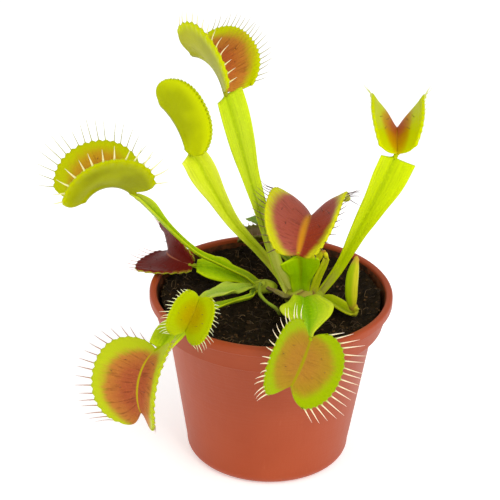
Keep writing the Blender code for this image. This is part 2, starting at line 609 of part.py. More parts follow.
def make_leaf(name, leaf, stalk_material, trap_material, collection, seats):
    """One leaf: the stalk, cut to seat on the rhizomes, and its trap or bud."""
    stalk = make_stalk("stalk_" + name, leaf, stalk_material, collection)
    for seat in seats:
        cut(stalk, seat)
    hinge = np.array(leaf["path"][-1], float)
    pieces = bpy.data.collections.new("pieces_" + name)
    bpy.context.scene.collection.children.link(pieces)
    stations = np.linspace(0, 1, TRAP_STATIONS)
    if "bud" in leaf:
        shape = dict(leaf["bud"], opening=(0, 0), cup=0)
        lobe = trap_surface(hinge, shape, stations)[:, TRAP_COLUMNS:]
        trap = blade("bud_" + name, lobe, shape["thick"], BUD_WEIGHTS, trap_material, collection)
    else:
        shape = leaf["trap"]
        edge = BLADE_EDGE / TRAP_RIB
        weights = [edge + (1 - edge) * (1 - abs(column) / TRAP_COLUMNS)
                   for column in range(-TRAP_COLUMNS, TRAP_COLUMNS + 1)]
        trap = blade("trap_" + name, trap_surface(hinge, shape, stations), TRAP_RIB, weights,
                     trap_material, collection)
        teeth = bpy.data.objects.new("teeth", trap_teeth(hinge, shape))
        pieces.objects.link(teeth)
    hinge_stub(leaf, pieces)
    fuse(trap, pieces)


def main():
    for obj in list(bpy.data.objects):
        bpy.data.objects.remove(obj)
    parts = bpy.data.collections.new("Venus flytrap in a pot")
    cutters = bpy.data.collections.new("Cutters")
    bpy.context.scene.collection.children.link(parts)
    bpy.context.scene.collection.children.link(cutters)

    pot_plastic = make_material("pot plastic", (0.50, 0.13, 0.06), 0.45)
    peat = make_material("peat", (0.028, 0.018, 0.012), 0.95)
    rhizome_skin = make_material("rhizome skin", (0.45, 0.50, 0.16), 0.6)
    leaf_green = make_material("leaf green", (0.30, 0.48, 0.03), 0.45)
    trap_green = make_material("trap green", (0.48, 0.58, 0.03), 0.45)
    trap_red = make_material("trap red", (0.30, 0.04, 0.04), 0.45)
    dead_brown = make_material("dead leaf brown", (0.13, 0.11, 0.03), 0.8)

    make_pot(pot_plastic, parts, cutters)
    soil = make_soil(peat, parts)
    make_rhizome("rhizome", MAIN_RHIZOME, rhizome_skin, parts)
    side = make_rhizome("rhizome_side", SIDE_RHIZOME, rhizome_skin, parts)
    seats = []
    for name, bulb in (("main_seat", MAIN_RHIZOME), ("side_seat", SIDE_RHIZOME)):
        seat = add_cutter(cutters, name)
        fill_bulb(seat.data, bulb, GAP)
        seats.append(seat)
    cut(side, seats[0])
    for seat in seats:
        cut(soil, seat)

    for name, leaf in LEAVES.items():
        red = name in ("centre", "maroon")
        make_leaf(name, leaf, leaf_green, trap_red if red else trap_green, parts, seats)

    dead = dict(path=DEAD_LEAF_PATH, half_widths=DEAD_LEAF_HALF_WIDTHS, sweep=0, fold=20, rib=BLADE_EDGE,
                face=((0, -0.2, 1), (0, -0.2, 1)))
    dead_leaf = make_stalk("dead_leaf", dead, dead_brown, parts)
    runner = make_tube("runner", RUNNER_PATH, RUNNER_RADIUS, leaf_green, parts)
    down = unit(np.subtract(RUNNER_PATH[-1], RUNNER_PATH[-2]))
    hole_path = RUNNER_PATH + [tuple(RUNNER_PATH[-1] + down * RUNNER_HOLE_DEPTH)]
    runner_hole = make_tube("runner_hole", hole_path, RUNNER_RADIUS + GAP, leaf_green, cutters)
    runner_hole.hide_render = True
    runner_hole.display_type = "WIRE"
    cut(soil, runner_hole)
    for seat in seats:
        cut(dead_leaf, seat)
        cut(runner, seat)


main()
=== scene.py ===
"""Looks of the potted Venus flytrap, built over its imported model.

Lengths are in millimetres in the tables and functions unless a comment says metres, and
become metres where a mesh is made. A leaf is described as in its CAD source: one curved
grid over a stalk's or a trap's surface, here drawn finer, with waved edges, teeth, hairs
and materials.
"""

import math

import bmesh
import bpy
import numpy as np
from mathutils import Matrix, Vector, noise


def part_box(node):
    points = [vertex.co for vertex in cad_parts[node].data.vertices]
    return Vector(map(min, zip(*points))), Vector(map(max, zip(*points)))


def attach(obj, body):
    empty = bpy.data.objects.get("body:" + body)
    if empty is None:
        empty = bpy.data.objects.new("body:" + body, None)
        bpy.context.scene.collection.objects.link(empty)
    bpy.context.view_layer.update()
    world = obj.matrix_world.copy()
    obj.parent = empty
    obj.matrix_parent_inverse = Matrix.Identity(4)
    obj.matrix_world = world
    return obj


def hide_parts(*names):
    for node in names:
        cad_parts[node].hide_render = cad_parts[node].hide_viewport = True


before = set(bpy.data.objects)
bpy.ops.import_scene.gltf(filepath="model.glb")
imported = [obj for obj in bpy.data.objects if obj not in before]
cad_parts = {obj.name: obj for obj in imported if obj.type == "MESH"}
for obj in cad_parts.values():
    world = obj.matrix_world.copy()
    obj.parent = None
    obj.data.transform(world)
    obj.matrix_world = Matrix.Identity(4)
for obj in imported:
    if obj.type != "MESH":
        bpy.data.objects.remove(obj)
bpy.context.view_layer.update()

MM = 0.001

# ------------ leaves
# Stalks, as in the CAD: path; half_widths along it; face, which way the upper side looks
# at both ends; fold and sweep of the wings in degrees; rib, the midrib's thickness.
# Added here: wave, the edge's rise and its number of waves; ears, how far the left and
# the right wing stand up past the hinge.
# Traps, as in the CAD: aim and face, a compass angle and an elevation, along the midrib
# and out of the open side; length and arch of the midrib; width, opening (left, right),
# cup and fan of the lobes; ends, the near and far width against the middle's. Added here:
# round, how far the near and far ends bulge; tip, how far each lobe's far corner runs
# out; far_cup, the cup at the far end; shape, how square the outline is; scallop, the
# margin's rise between teeth; splay, lean and spur, how teeth fan out, tilt back and grow
# towards the far end; teeth, for each lobe their number, length and root radius.
LEAVES = {
    "left": dict(
        path=[(-5, 10.4, 59.4), (-8.6, 8.4, 63.5), (-12.7, 6.4, 66.8), (-19, 3.6, 71.6), (-25.9, 2, 76.1),
              (-35.4, 1.6, 85.5), (-44.3, 3, 94.5), (-49, 4, 97.5)],
        half_widths=[(0, 1.5), (0.35, 1.3), (0.78, 1.2), (0.9, 2.3), (1, 0.9)],
        face=((0.2, -0.5, 0.8), (0.5, -0.3, 0.8)), fold=30, sweep=0, rib=1.5, wave=(0.3, 3),
        trap=dict(aim=(-163, -6), face=(145, 80), length=19, arch=100, width=18.5, opening=(47, 53), cup=7,
                  fan=13, ends=(0.53, 0.68), scallop=0.9, splay=0.6,
                  teeth=((14, 7.2, 0.36), (19, 8.4, 0.15)))),
    "closed": dict(
        path=[(7, 11.5, 57), (1.2, 13, 64.5), (-4.2, 11.5, 71.8), (-13.9, 9, 84.2), (-20.9, 6.8, 97.4),
              (-26.1, 4.8, 108.5), (-30, 4, 114)],
        half_widths=[(0, 1.7), (0.4, 2), (0.7, 3.5), (0.92, 5.3), (1, 4.8)],
        ears=(0, 2.6), face=((0, -0.9, 0.3), (0.1, -0.9, 0.3)), fold=28, sweep=6, rib=1.7, wave=(0.25, 3),
        trap=dict(aim=(131, 40), face=(-21, 47), length=18.5, arch=37, width=13.3, opening=(3, 3), cup=19,
                  fan=28, ends=(0.47, 0.55), round=(1.5, 2.2), teeth=((26, 0.9, 0.2), (26, 0.9, 0.2)))),
    "tall": dict(
        path=[(6.8, 8, 57), (2.3, 9, 66.5), (-0.4, 10.2, 73.8), (-5.3, 12.4, 89.3), (-9.4, 13, 103.1),
              (-13.3, 13.4, 117.2), (-17.5, 14, 131.5)],
        half_widths=[(0, 2.3), (0.35, 2.6), (0.6, 3.6), (0.93, 6.4), (1, 6.2)],
        ears=(-0.6, 1.2), face=((0.4, -0.9, 0.2), (0.45, -0.85, 0.3)), fold=30, sweep=10, rib=1.8,
        wave=(0.3, 2),
        trap=dict(aim=(128, 21), face=(-33, 68), length=21.5, arch=75, width=15.8, opening=(30, 51),
                  cup=15, fan=0, ends=(0.59, 0.66), scallop=0.7, teeth=((13, 5.2, 0.3), (20, 5.6, 0.15)))),
    "right": dict(
        path=[(16.6, 7.4, 57), (19.4, 7.2, 61.4), (23.9, 7.7, 69.1), (29.8, 8.4, 82.2), (35.6, 9.1, 95.5),
              (39.6, 9.8, 105.5), (42, 10, 111.5)],
        half_widths=[(0, 1.5), (0.3, 2.3), (0.6, 4.4), (0.9, 7.4), (1, 7.2)],
        face=((0.3, -0.9, 0.1), (0.3, -0.9, 0.2)), fold=26, sweep=9, rib=1.8, wave=(0.4, 2),
        trap=dict(aim=(87, 0), face=(-178, 85), length=20, arch=53, width=14.6, opening=(33, 40), cup=14,
                  far_cup=-8, fan=16, ends=(0.72, 1.06), round=(0.6, 0), tip=(1.6, 1.6), lean=0.2,
                  spur=1.6, teeth=((15, 3, 0.17), (15, 3, 0.17)))),
    "centre": dict(
        path=[(10.5, 6.6, 57.5), (10.3, 4.2, 64.5), (10, 0.6, 71.2), (9, -4, 79)],
        half_widths=[(0, 2.6), (0.5, 4.3), (0.92, 6.8), (1, 6.8)],
        face=((0, -0.9, 0.2), (0, -0.9, 0.4)), fold=20, sweep=8, rib=1.8, wave=(0.2, 2),
        trap=dict(aim=(78, 6), face=(-75, 83), length=25, arch=87, width=16.3, opening=(57, 46), cup=17,
                  far_cup=-30, fan=10, ends=(0.5, 0.88), round=(0.8, 0), tip=(0, 3.2), lean=0.45, spur=0.4,
                  splay=0.8, teeth=((18, 6.4, 0.19), (18, 5.4, 0.19)))),
    "maroon": dict(
        path=[(-6, 10.8, 58.4), (-9.8, 11.4, 60.2), (-17.4, 10, 64.6), (-23.2, 9, 66.3),
              (-28.5, 8.5, 67.3)],
        half_widths=[(0, 0.9), (0.25, 1.5), (0.55, 4.1), (0.85, 3.6), (1, 2.4)],
        face=((0, -0.6, 0.7), (0, -0.6, 0.7)), fold=8, sweep=8, rib=1.4, wave=(0.4, 1),
        trap=dict(aim=(113, -11), face=(-160, 13), length=22.5, arch=72, width=13.5, opening=(25, 67),
                  cup=19, fan=32, ends=(0.24, 0.4), round=(0.4, 1), shape=1.15, tip=(1.5, 1), spur=1.4,
                  teeth=((14, 4.4, 0.16), (14, 3.6, 0.16)))),
    "small": dict(
        path=[(-5.6, 9.2, 59.2), (-8.6, 4.4, 61.8), (-12.2, -2, 64), (-15.7, -11.5, 68), (-19.7, -25, 74.6),
              (-24, -39, 79.4)],
        half_widths=[(0, 0.9), (0.25, 2.4), (0.5, 3.4), (0.75, 2), (1, 0.8)],
        face=((0, -0.3, 0.9), (0.2, -0.3, 0.9)), fold=10, sweep=0, rib=1.4, wave=(1.3, 1.5),
        trap=dict(aim=(-148, -64), face=(-84, 12), length=11.7, arch=27, width=10.2, opening=(30, 54),
                  cup=9, fan=13, ends=(0.59, 0.57), teeth=((16, 4.9, 0.17), (17, 4.6, 0.17)))),
    "hanging": dict(
        path=[(-4.6, 9, 58), (-6.4, 4.4, 59.6), (-7.2, -0.6, 60.8), (-14.2, -11, 64), (-23.6, -23.5, 66.4),
              (-32, -34.5, 65.3), (-38, -44, 62)],
        half_widths=[(0, 0.9), (0.45, 1.1), (0.7, 3.4), (0.9, 5), (1, 3.6)],
        face=((0, -0.2, 0.9), (0.1, -0.1, 0.9)), fold=14, sweep=10, rib=1.4, wave=(0.4, 2),
        trap=dict(aim=(-112, -53), face=(-138, 34), length=21.5, arch=87, width=16.2, opening=(62, 66),
                  cup=5, fan=23, ends=(0.25, 0.59), round=(0.5, 3.6), scallop=0.7, spur=0.6,
                  teeth=((18, 4.6, 0.16), (18, 5.4, 0.2)))),
    "front": dict(
        path=[(11.5, 4.6, 57.4), (11.6, -2, 61.2), (11.9, -12, 63.4), (12.4, -26, 65.8), (12.5, -46, 69)],
        half_widths=[(0, 2.4), (0.12, 3.6), (0.3, 6.2), (0.46, 9.5), (0.56, 8.9), (0.75, 4.4), (0.92, 1.3),
                     (1, 1)],
        face=((0, -0.2, 0.9), (0, 0, 1)), fold=10, sweep=0, rib=1.8, wave=(0.6, 1),
        trap=dict(aim=(-124, -50), face=(-68, 25), length=16.3, arch=36, width=13.9, opening=(84, 67),
                  cup=17, fan=37, ends=(0.48, 0.63), splay=0.4, teeth=((17, 7.2, 0.25), (18, 7.2, 0.25)))),
    "rim": dict(
        path=[(11, 11.4, 56.6), (10.4, 15.4, 59.2), (8, 21, 61.6), (2.2, 29, 64.2), (-1.6, 34, 65.3)],
        half_widths=[(0, 0.9), (0.6, 1.3), (1, 1)],
        face=((0, -0.2, 0.9), (0, -0.2, 0.9)), fold=20, sweep=0, rib=1.3, wave=(0.1, 2),
        trap=dict(aim=(176, -10), face=(-105, 62), length=8.5, arch=24, width=5.2, opening=(24, 36),
                  cup=12, fan=20, ends=(0.6, 0.6), teeth=((9, 2.3, 0.14), (9, 2.3, 0.14)))),
    "young": dict(
        path=[(16.2, 4.4, 57.4), (19, 0, 60), (23.5, -6, 60.6), (28, -11, 60.4), (29, -12, 62.8)],
        half_widths=[(0, 1.1), (0.4, 2.3), (0.8, 2.3), (1, 1.4)],
        face=((0, -0.2, 0.9), (0, -0.2, 0.9)), fold=14, sweep=0, rib=1.3, wave=(0.2, 2),
        bud=dict(aim=(0, 89), face=(-170, 0), length=18.6, arch=5, width=3.5, fan=3, ends=(0.6, 0.5),
                 thick=1.9)),
    "folded": dict(
        path=[(14.6, 5.8, 58), (16.4, 5, 65.2), (18.9, 4.6, 72.6), (18.4, 4.4, 75.2)],
        half_widths=[(0, 1.2), (0.5, 1.4), (1, 1)],
        face=((0.2, -0.9, 0), (0.2, -0.9, 0)), fold=14, sweep=0, rib=1.2, wave=(0.1, 1),
        bud=dict(aim=(152, -60), face=(165, 30), length=7.6, arch=12, width=2.6, fan=8, ends=(0.5, 0.5),
                 thick=1.7)),
    "back": dict(
        path=[(14.6, 10.6, 57.2), (12.6, 15.4, 63.4), (4.4, 18.6, 71.6), (-2, 18, 78.6)],
        half_widths=[(0, 1.1), (0.6, 1.3), (1, 0.9)],
        face=((0, -0.9, 0.3), (0, -0.9, 0.3)), fold=14, sweep=0, rib=1.2, wave=(0.1, 1),
        bud=dict(aim=(172, 12), face=(82, 70), length=6.4, arch=10, width=2.2, fan=12, ends=(0.5, 0.5),
                 thick=1.7)),
}
DEAD_LEAF_SEED = 20
DEAD_LEAF = dict(
    path=[(7.5, 4.2, 57.4), (4.6, 1.6, 59.6), (1.6, 2.8, 60.8), (-1.4, 5.0, 61.2)],
    half_widths=[(0.0, 0.9), (0.4, 1.2), (1.0, 0.7)],
    face=((0, -0.2, 1), (0, -0.2, 1)), fold=24, sweep=0, rib=0.9, wave=(0.35, 3))
RUNNER_PATH = [(-3.4, 9.6, 59.4), (-3.9, 5.0, 61.8), (-3.9, 0.0, 60.9), (-1.6, -3.6, 59.8),
               (2.0, -6.0, 58.2), (3.4, -6.6, 55.6)]
RUNNER_RADIUS = 0.6
RUNNER_STATIONS = 60

PLAIN_TRAP = dict(shape=2.5, round=(0.8, 1.2), tip=(0, 0), scallop=0.5, splay=0.25, spur=0, lean=0)
WINGS_END = 2.6                # how far before the hinge a stalk's wings stop
NECK_BACK = np.array([2.3, 2.0, 1.5, 0.8, 0.0])    # the neck's stations, back from the hinge
NECK_SHARES = (0.3, 0.8, 1, 1, 1)                  # how far each has turned into a round neck
NECK_HALF_WIDTHS = (0.8, 0.7, 0.66, 0.7)
# For the colours, how far along the blade's last station and the neck's five are.
NECK_PLACES = (0.96, 0.97, 0.98, 0.985, 0.99, 1.0)
NECK_RADII = np.array([0.45, 0.72, 0.80, 0.88, 0.92, 0.60])
NECK_THICKNESS = 1.5
BLADE_EDGE = 0.7               # a blade's thickness at its edge
CHANNEL_DEPTH = 0.35           # the channel along a blade's upper side, the keel below it
CHANNEL_WIDTH = 0.7
KEEL_DEPTH = 0.5
KEEL_WIDTH = 0.9
STALK_STATIONS = 56
STALK_COLUMNS = 9              # faces across each wing
TRAP_STATIONS = 81
TRAP_COLUMNS = 22              # faces across each lobe
MIDRIB_STEPS = 60
BUD_STATIONS = 49
BUD_COLUMNS = 16
USUAL_TRAP = 20                # the midrib length that thicknesses and hairs are given for
LOBE_THICKNESS = 0.75
RIB_EXTRA = 0.9
MARGIN_EXTRA = 0.25
LOBE_SPLIT = (0.42, 0.58)      # shares of the thickness above and below the lobe's grid
RIPPLE = 0.14                  # how far the margin swings to either side
SWELL = 0.18                   # how far the lobe's face does
SCALLOP_START = 0.9            # the share of a lobe's width past which it is scalloped
TIP_GROWTH = 2.2
SPINE_TIP = 0.035              # a spine's radius at its end
TOOTH_ROOT = 0.5               # how deep a tooth is rooted
TOOTH_STRAY = 0.05             # how far a tooth strays from its direction
TOOTH_LENGTHS = (0.86, 1.10)   # its length against the one given, least and most
TOOTH_CURLS = (0.10, 0.30)     # its bend against its length, least and most
HAIR_LENGTH = 1.4
HAIR_RADIUS = 0.07
HAIR_PLACES = ((0.36, 0.46), (0.64, 0.44), (0.50, 0.66))  # along and across a lobe
TRAP_SEED = 100
BUD_SEED = 200
BULB_ROWS = 40
BULB_SIDES = 72
BULB_SCALES = 5

# ------------ colours
# Linear values. A stalk's colours: at the root, along the blade, at the hinge, in the
# channel and at the edges. The closed and tall stalks' pale root colours are partly
# painted light: their bases are pale, and lifted further to make up for the shade there.
STALK_COLOURS = {
    "left": ((0.3, 0.42, 0.02), (0.33, 0.5, 0), (0.48, 0.5, 0.04), (0.14, 0.3, 0), (0.54, 0.64, 0.01)),
    "closed": ((0.95, 0.8, 0.2), (0.64, 0.73, 0.02), (0.62, 0.7, 0.01), (0.48, 0.6, 0), (0.7, 0.76, 0.06)),
    "tall": ((0.98, 0.95, 0.24), (0.54, 0.66, 0.02), (0.52, 0.66, 0.01), (0.36, 0.5, 0), (0.58, 0.7, 0.01)),
    "right": ((0.55, 0.52, 0.08), (0.5, 0.62, 0), (0.54, 0.66, 0), (0.4, 0.52, 0), (0.58, 0.68, 0)),
    "centre": ((0.32, 0.5, 0.02), (0.38, 0.62, 0), (0.42, 0.63, 0), (0.4, 0.5, 0), (0.44, 0.62, 0)),
    "maroon": ((0.42, 0.5, 0.04), (0.36, 0.58, 0), (0.31, 0.5, 0), (0.26, 0.47, 0), (0.52, 0.66, 0)),
    "small": ((0.3, 0.42, 0.03), (0.36, 0.52, 0.04), (0.48, 0.56, 0), (0.28, 0.44, 0.01), (0.5, 0.6, 0.05)),
    "hanging": ((0.14, 0.26, 0.02), (0.32, 0.5, 0.01), (0.52, 0.64, 0), (0.26, 0.42, 0), (0.54, 0.66, 0.01)),
    "front": ((0.3, 0.5, 0.02), (0.27, 0.52, 0), (0.5, 0.64, 0), (0.18, 0.42, 0), (0.66, 0.74, 0.02)),
    "rim": ((0.18, 0.26, 0.02), (0.16, 0.26, 0.01), (0.22, 0.3, 0.02), (0.12, 0.22, 0.01), (0.3, 0.36, 0.02)),
    "young": ((0.32, 0.44, 0.02), (0.42, 0.52, 0), (0.52, 0.52, 0.04), (0.3, 0.42, 0), (0.56, 0.6, 0.01)),
    "folded": (
        (0.52, 0.48, 0.06), (0.58, 0.62, 0.01), (0.62, 0.53, 0.04), (0.43, 0.5, 0), (0.64, 0.65, 0.01)),
    "back": ((0.18, 0.27, 0.02), (0.16, 0.29, 0.01), (0.2, 0.32, 0.01), (0.12, 0.22, 0), (0.28, 0.38, 0.01)),
}
RUNNER_COLOURS = (
    (0.3, 0.36, 0.05), (0.24, 0.32, 0.02), (0.14, 0.14, 0.02), (0.12, 0.2, 0.02), (0.22, 0.3, 0.04))
DEAD_COLOURS = (
    (0.16, 0.14, 0.03), (0.28, 0.25, 0.05), (0.26, 0.16, 0.05), (0.08, 0.06, 0.02), (0.22, 0.18, 0.07))
# How far up a stalk its root colour reaches, and how far out its edge colour starts. On the
# tall and closed stalks the root colour reaches further up, partly as painted light.
STALK_BANDS = (0.26, 0.45)
OWN_BANDS = {"tall": (0.55, 0.45), "closed": (0.34, 0.45), "front": (0.20, 0.10), "small": (0.26, 0.2)}
# A trap's colours: inside at the centre and towards the coloured zone's edge, right the
# same for the right lobe where it differs (on the centre trap a darker, redder inside:
# partly the lobe's redder colour, partly painted shade); margin, rib, outside; teeth at the
# root, middle and tip, and teeth_right where they differ. zone: how far the coloured zone
# reaches across the lobe and along it, and where along the trap it lies. veins: how
# strongly the streaks show.
TRAP_COLOURS = {
    "left": dict(
        inside=((0.44, 0.14, 0.015), (0.47, 0.26, 0.01)), margin=(0.44, 0.47, 0), rib=(0.44, 0.38, 0.01),
        outside=(0.33, 0.35, 0), teeth=((0.6, 0.6, 0.08), (0.84, 0.78, 0.36), (0.74, 0.7, 0.46)),
        teeth_right=((0.42, 0.44, 0.03), (0.4, 0.4, 0.16), (0.42, 0.42, 0.26)), zone=(0.86, 0.86, 0),
        veins=0.6),
    "closed": dict(
        inside=((0.46, 0.48, 0), (0.46, 0.48, 0)), margin=(0.5, 0.56, 0), rib=(0.5, 0.3, 0.03),
        outside=(0.42, 0.47, 0), teeth=((0.46, 0.53, 0), (0.54, 0.6, 0.01), (0.62, 0.66, 0.1)),
        zone=(0.5, 0.5, 0), veins=0.2),
    "tall": dict(
        inside=((0.46, 0.115, 0.025), (0.5, 0.2, 0.025)), margin=(0.52, 0.57, 0), rib=(0.44, 0.42, 0.02),
        outside=(0.36, 0.36, 0.015), teeth=((0.58, 0.6, 0.08), (0.82, 0.7, 0.34), (0.74, 0.62, 0.42)),
        teeth_right=((0.46, 0.48, 0.04), (0.42, 0.4, 0.18), (0.4, 0.36, 0.26)), zone=(0.94, 0.97, -0.04),
        veins=0.9),
    "right": dict(
        inside=((0.52, 0.12, 0.01), (0.54, 0.3, 0)), margin=(0.55, 0.61, 0), rib=(0.5, 0.3, 0.01),
        outside=(0.48, 0.55, 0), teeth=((0.54, 0.6, 0.01), (0.58, 0.62, 0.12), (0.58, 0.58, 0.34)),
        gloss=0.02, zone=(0.6, 1.5, 0.8), veins=0.35),
    "centre": dict(
        # right: the right lobe's inside, darker and redder, partly painted shade
        inside=((0.36, 0.074, 0.046), (0.38, 0.088, 0.06)), right=(0.29, 0.036, 0.013), gloss=0.07,
        rib_width=0.15, margin=(0.6, 0.6, 0.01), rib=(0.64, 0.28, 0.01), outside=(0.48, 0.5, 0.01),
        teeth=((0.26, 0.14, 0.03), (0.1, 0.035, 0.03), (0.13, 0.04, 0.06)), zone=(0.9, 1.08, 0.1),
        veins=0.9),
    "maroon": dict(
        inside=((0.135, 0.01, 0.007), (0.145, 0.012, 0.008)), gloss=0.05, margin=(0.4, 0.42, 0.02),
        rib=(0.44, 0.14, 0.07), outside=(0.26, 0.3, 0.01),
        teeth=((0.4, 0.36, 0.05), (0.46, 0.2, 0.12), (0.4, 0.16, 0.16)), zone=(1.3, 1.9, 0.1), veins=0.4),
    "small": dict(
        inside=((0.44, 0.33, 0), (0.42, 0.41, 0)), margin=(0.42, 0.5, 0), rib=(0.46, 0.4, 0.01),
        outside=(0.4, 0.47, 0), teeth=((0.56, 0.62, 0.08), (0.84, 0.84, 0.5), (0.88, 0.84, 0.66)),
        zone=(0.7, 0.72, 0), veins=0.2),
    "hanging": dict(
        inside=((0.38, 0.085, 0.03), (0.46, 0.17, 0.03)), margin=(0.44, 0.5, 0.01), rib=(0.5, 0.44, 0),
        outside=(0.4, 0.47, 0), teeth=((0.42, 0.44, 0.04), (0.4, 0.2, 0.13), (0.3, 0.16, 0.14)),
        zone=(0.82, 0.92, 0.3), veins=1),
    "front": dict(
        inside=((0.37, 0.17, 0.02), (0.35, 0.21, 0.012)), margin=(0.29, 0.39, 0), rib=(0.29, 0.27, 0),
        outside=(0.3, 0.38, 0), teeth=((0.4, 0.46, 0.03), (0.92, 0.76, 0.52), (0.94, 0.72, 0.56)),
        zone=(0.82, 0.88, 0), veins=0.5),
    "rim": dict(
        inside=((0.22, 0.15, 0.08), (0.3, 0.22, 0.13)), margin=(0.2, 0.19, 0.05), rib=(0.26, 0.18, 0.08),
        outside=(0.15, 0.12, 0.03), teeth=((0.22, 0.16, 0.06), (0.4, 0.22, 0.16), (0.42, 0.24, 0.2)),
        zone=(0.9, 0.95, 0), veins=0.6),
}
# A bud's colours: by the seam, along its sides, at its ends.
BUD_COLOURS = {
    "young": ((0.52, 0.49, 0.012), (0.28, 0.38, 0), (0.46, 0.26, 0.03)),
    "folded": ((0.68, 0.61, 0.01), (0.52, 0.5, 0.01), (0.46, 0.15, 0.035)),
    "back": ((0.3, 0.42, 0.12), (0.24, 0.38, 0.09), (0.36, 0.46, 0.16)),
}
RIB_WIDTH = 0.07
TRAP_GLOSS = 0.07
LEAF_SHINE = (1.0, 1.0, 0.35)
LEAF_GLOW = (0.9, 1.0, 0.15)
RHIZOME = ((0.34, 0.42, 0.02), (0.42, 0.32, 0.06), (0.22, 0.12, 0.03))
SIDE_RHIZOME = ((0.40, 0.50, 0.02), (0.46, 0.48, 0.05), (0.26, 0.30, 0.02))
PEAT = ((0.0075, 0.0042, 0.0020), (0.046, 0.026, 0.010))      # dark and light parts
CRUMB = ((0.012, 0.0065, 0.0028), (0.075, 0.042, 0.016))
BARK = ((0.050, 0.024, 0.009), (0.24, 0.125, 0.050))


# ------------ curves and surfaces
def unit(vectors):
    """The same directions at length 1."""
    vectors = np.asarray(vectors, float)
    return vectors / np.linalg.norm(vectors, axis=-1, keepdims=True)


def compass(angles):
    """Direction from a compass angle and an elevation in degrees."""
    turn, rise = np.radians(angles)
    return np.array([math.cos(rise) * math.cos(turn), math.cos(rise) * math.sin(turn), math.sin(rise)])


def curve_points(points):
    """Many points on a smooth curve through the given ones, and the run to each."""
    knots = np.array(points, float)
    padded = np.vstack([2 * knots[0] - knots[1], knots, 2 * knots[-1] - knots[-2]])
    fine = []
    for before, start, end, after in zip(padded, padded[1:], padded[2:], padded[3:]):
        for t in np.linspace(0, 1, 24, endpoint=False):
            fine.append(0.5 * (2 * start + (end - before) * t
                               + (2 * before - 5 * start + 4 * end - after) * t ** 2
                               + (3 * start - before - 3 * end + after) * t ** 3))
    fine = np.array(fine + [knots[-1]])
    run = np.concatenate([[0], np.cumsum(np.linalg.norm(np.diff(fine, axis=0), axis=1))])
    return fine, run


def on_curve(fine, run, places):
    """Points and directions at the given runs along a curve."""
    def at(where):
        return np.stack([np.interp(where, run, fine[:, axis]) for axis in range(3)], axis=-1)
    return at(places), unit(at(places + 0.4) - at(places - 0.4))


def smooth_values(pairs, places):
    """Values at the given places on a smooth curve through (place, value) pairs."""
    x, y = np.array(pairs, float).T
    slopes = np.gradient(y, x)
    index = np.clip(np.searchsorted(x, places, side="right") - 1, 0, len(x) - 2)
    step = x[index + 1] - x[index]
    t = (places - x[index]) / step
    return ((2 * t ** 3 - 3 * t ** 2 + 1) * y[index] + (t ** 3 - 2 * t ** 2 + t) * step * slopes[index]
            + (3 * t ** 2 - 2 * t ** 3) * y[index + 1] + (t ** 3 - t ** 2) * step * slopes[index + 1])


def smoothstep(low, high, value):
    """0 below low, 1 above high, and an S curve between."""
    t = np.clip((np.asarray(value, float) - low) / (high - low), 0, 1)
    return t * t * (3 - 2 * t)


def stalk_grids(leaf, seed):
    """A stalk's upper and lower grid, and each point's place across and along it."""
    fine, run = curve_points(leaf["path"])
    wing = np.linspace(0, run[-1] - WINGS_END, STALK_STATIONS)
    path, tangents = on_curve(fine, run, np.concatenate([wing, run[-1] - NECK_BACK]))
    share = np.concatenate([np.linspace(0, 1, STALK_STATIONS), np.ones(len(NECK_BACK))])
    along = np.concatenate([share[:STALK_STATIONS] * NECK_PLACES[0], NECK_PLACES[1:]])
    widths = smooth_values(leaf["half_widths"], share)
    first = max(widths[STALK_STATIONS - 1] * 0.30, NECK_HALF_WIDTHS[0])
    widths[STALK_STATIONS:] = [first, *NECK_HALF_WIDTHS]
    neckness = np.concatenate([np.zeros(STALK_STATIONS), NECK_SHARES])
    share, widths, neckness = share[:, None], widths[:, None], neckness[:, None]
    bladeness = 1 - neckness
    place = np.linspace(-1, 1, 2 * STALK_COLUMNS + 1)[None, :]
    side, near = np.sign(place), np.abs(place)
    sweep = math.radians(leaf["sweep"]) * np.clip((share - 0.6) / 0.4, 0, 1) ** 2 * bladeness
    fold = math.radians(leaf["fold"]) * bladeness
    start, end = np.array(leaf["face"])
    up = (1 - share) * start + share * end
    up = unit(up - (up * tangents).sum(1, keepdims=True) * tangents)
    across = np.cross(tangents, up)

    height, waves = leaf["wave"]
    phase = seed * 1.7
    turn = math.tau * waves * share
    swing = height * (np.sin(turn + phase + side) + 0.25 * np.sin(2.3 * turn + 2 * phase - side))
    lift = swing * near ** 2 * smoothstep(0, 0.25, share) * bladeness * np.clip(widths / 4, 0.15, 1)
    left_ear, right_ear = leaf.get("ears", (0, 0))
    ear = np.where(place > 0, right_ear, left_ear) * near * smoothstep(0.80, 1.0, share) * bladeness

    rounding = 1 + 0.06 * np.sin(8 * share + phase + side) * near
    reach = (near * widths * rounding)[..., None]
    wing_way = (np.cos(fold)[..., None] * side[..., None] * across[:, None]
                + np.sin(fold)[..., None] * up[:, None])
    lean = np.cos(sweep)[..., None] * wing_way + np.sin(sweep)[..., None] * tangents[:, None]
    upper = path[:, None] + reach * lean + lift[..., None] * up[:, None] + ear[..., None] * tangents[:, None]

    channel = CHANNEL_DEPTH * np.exp(-(place * widths / CHANNEL_WIDTH) ** 2) * bladeness
    keel = KEEL_DEPTH * np.exp(-(place * widths / KEEL_WIDTH) ** 2)
    blade = BLADE_EDGE + (leaf["rib"] - BLADE_EDGE) * (1 - near) ** 1.5
    tube = NECK_THICKNESS * np.sqrt(np.clip(1 - place ** 2, 0.02, 1))
    thickness = bladeness * (blade + keel) + neckness * tube
    drop = channel + neckness * 0.3 * (1 - np.sqrt(np.clip(1 - place ** 2, 0, 1)))
    upper = upper - drop[..., None] * up[:, None]
    lower = upper - (thickness - drop)[..., None] * up[:, None]
    return upper, lower, *np.meshgrid(place, along)


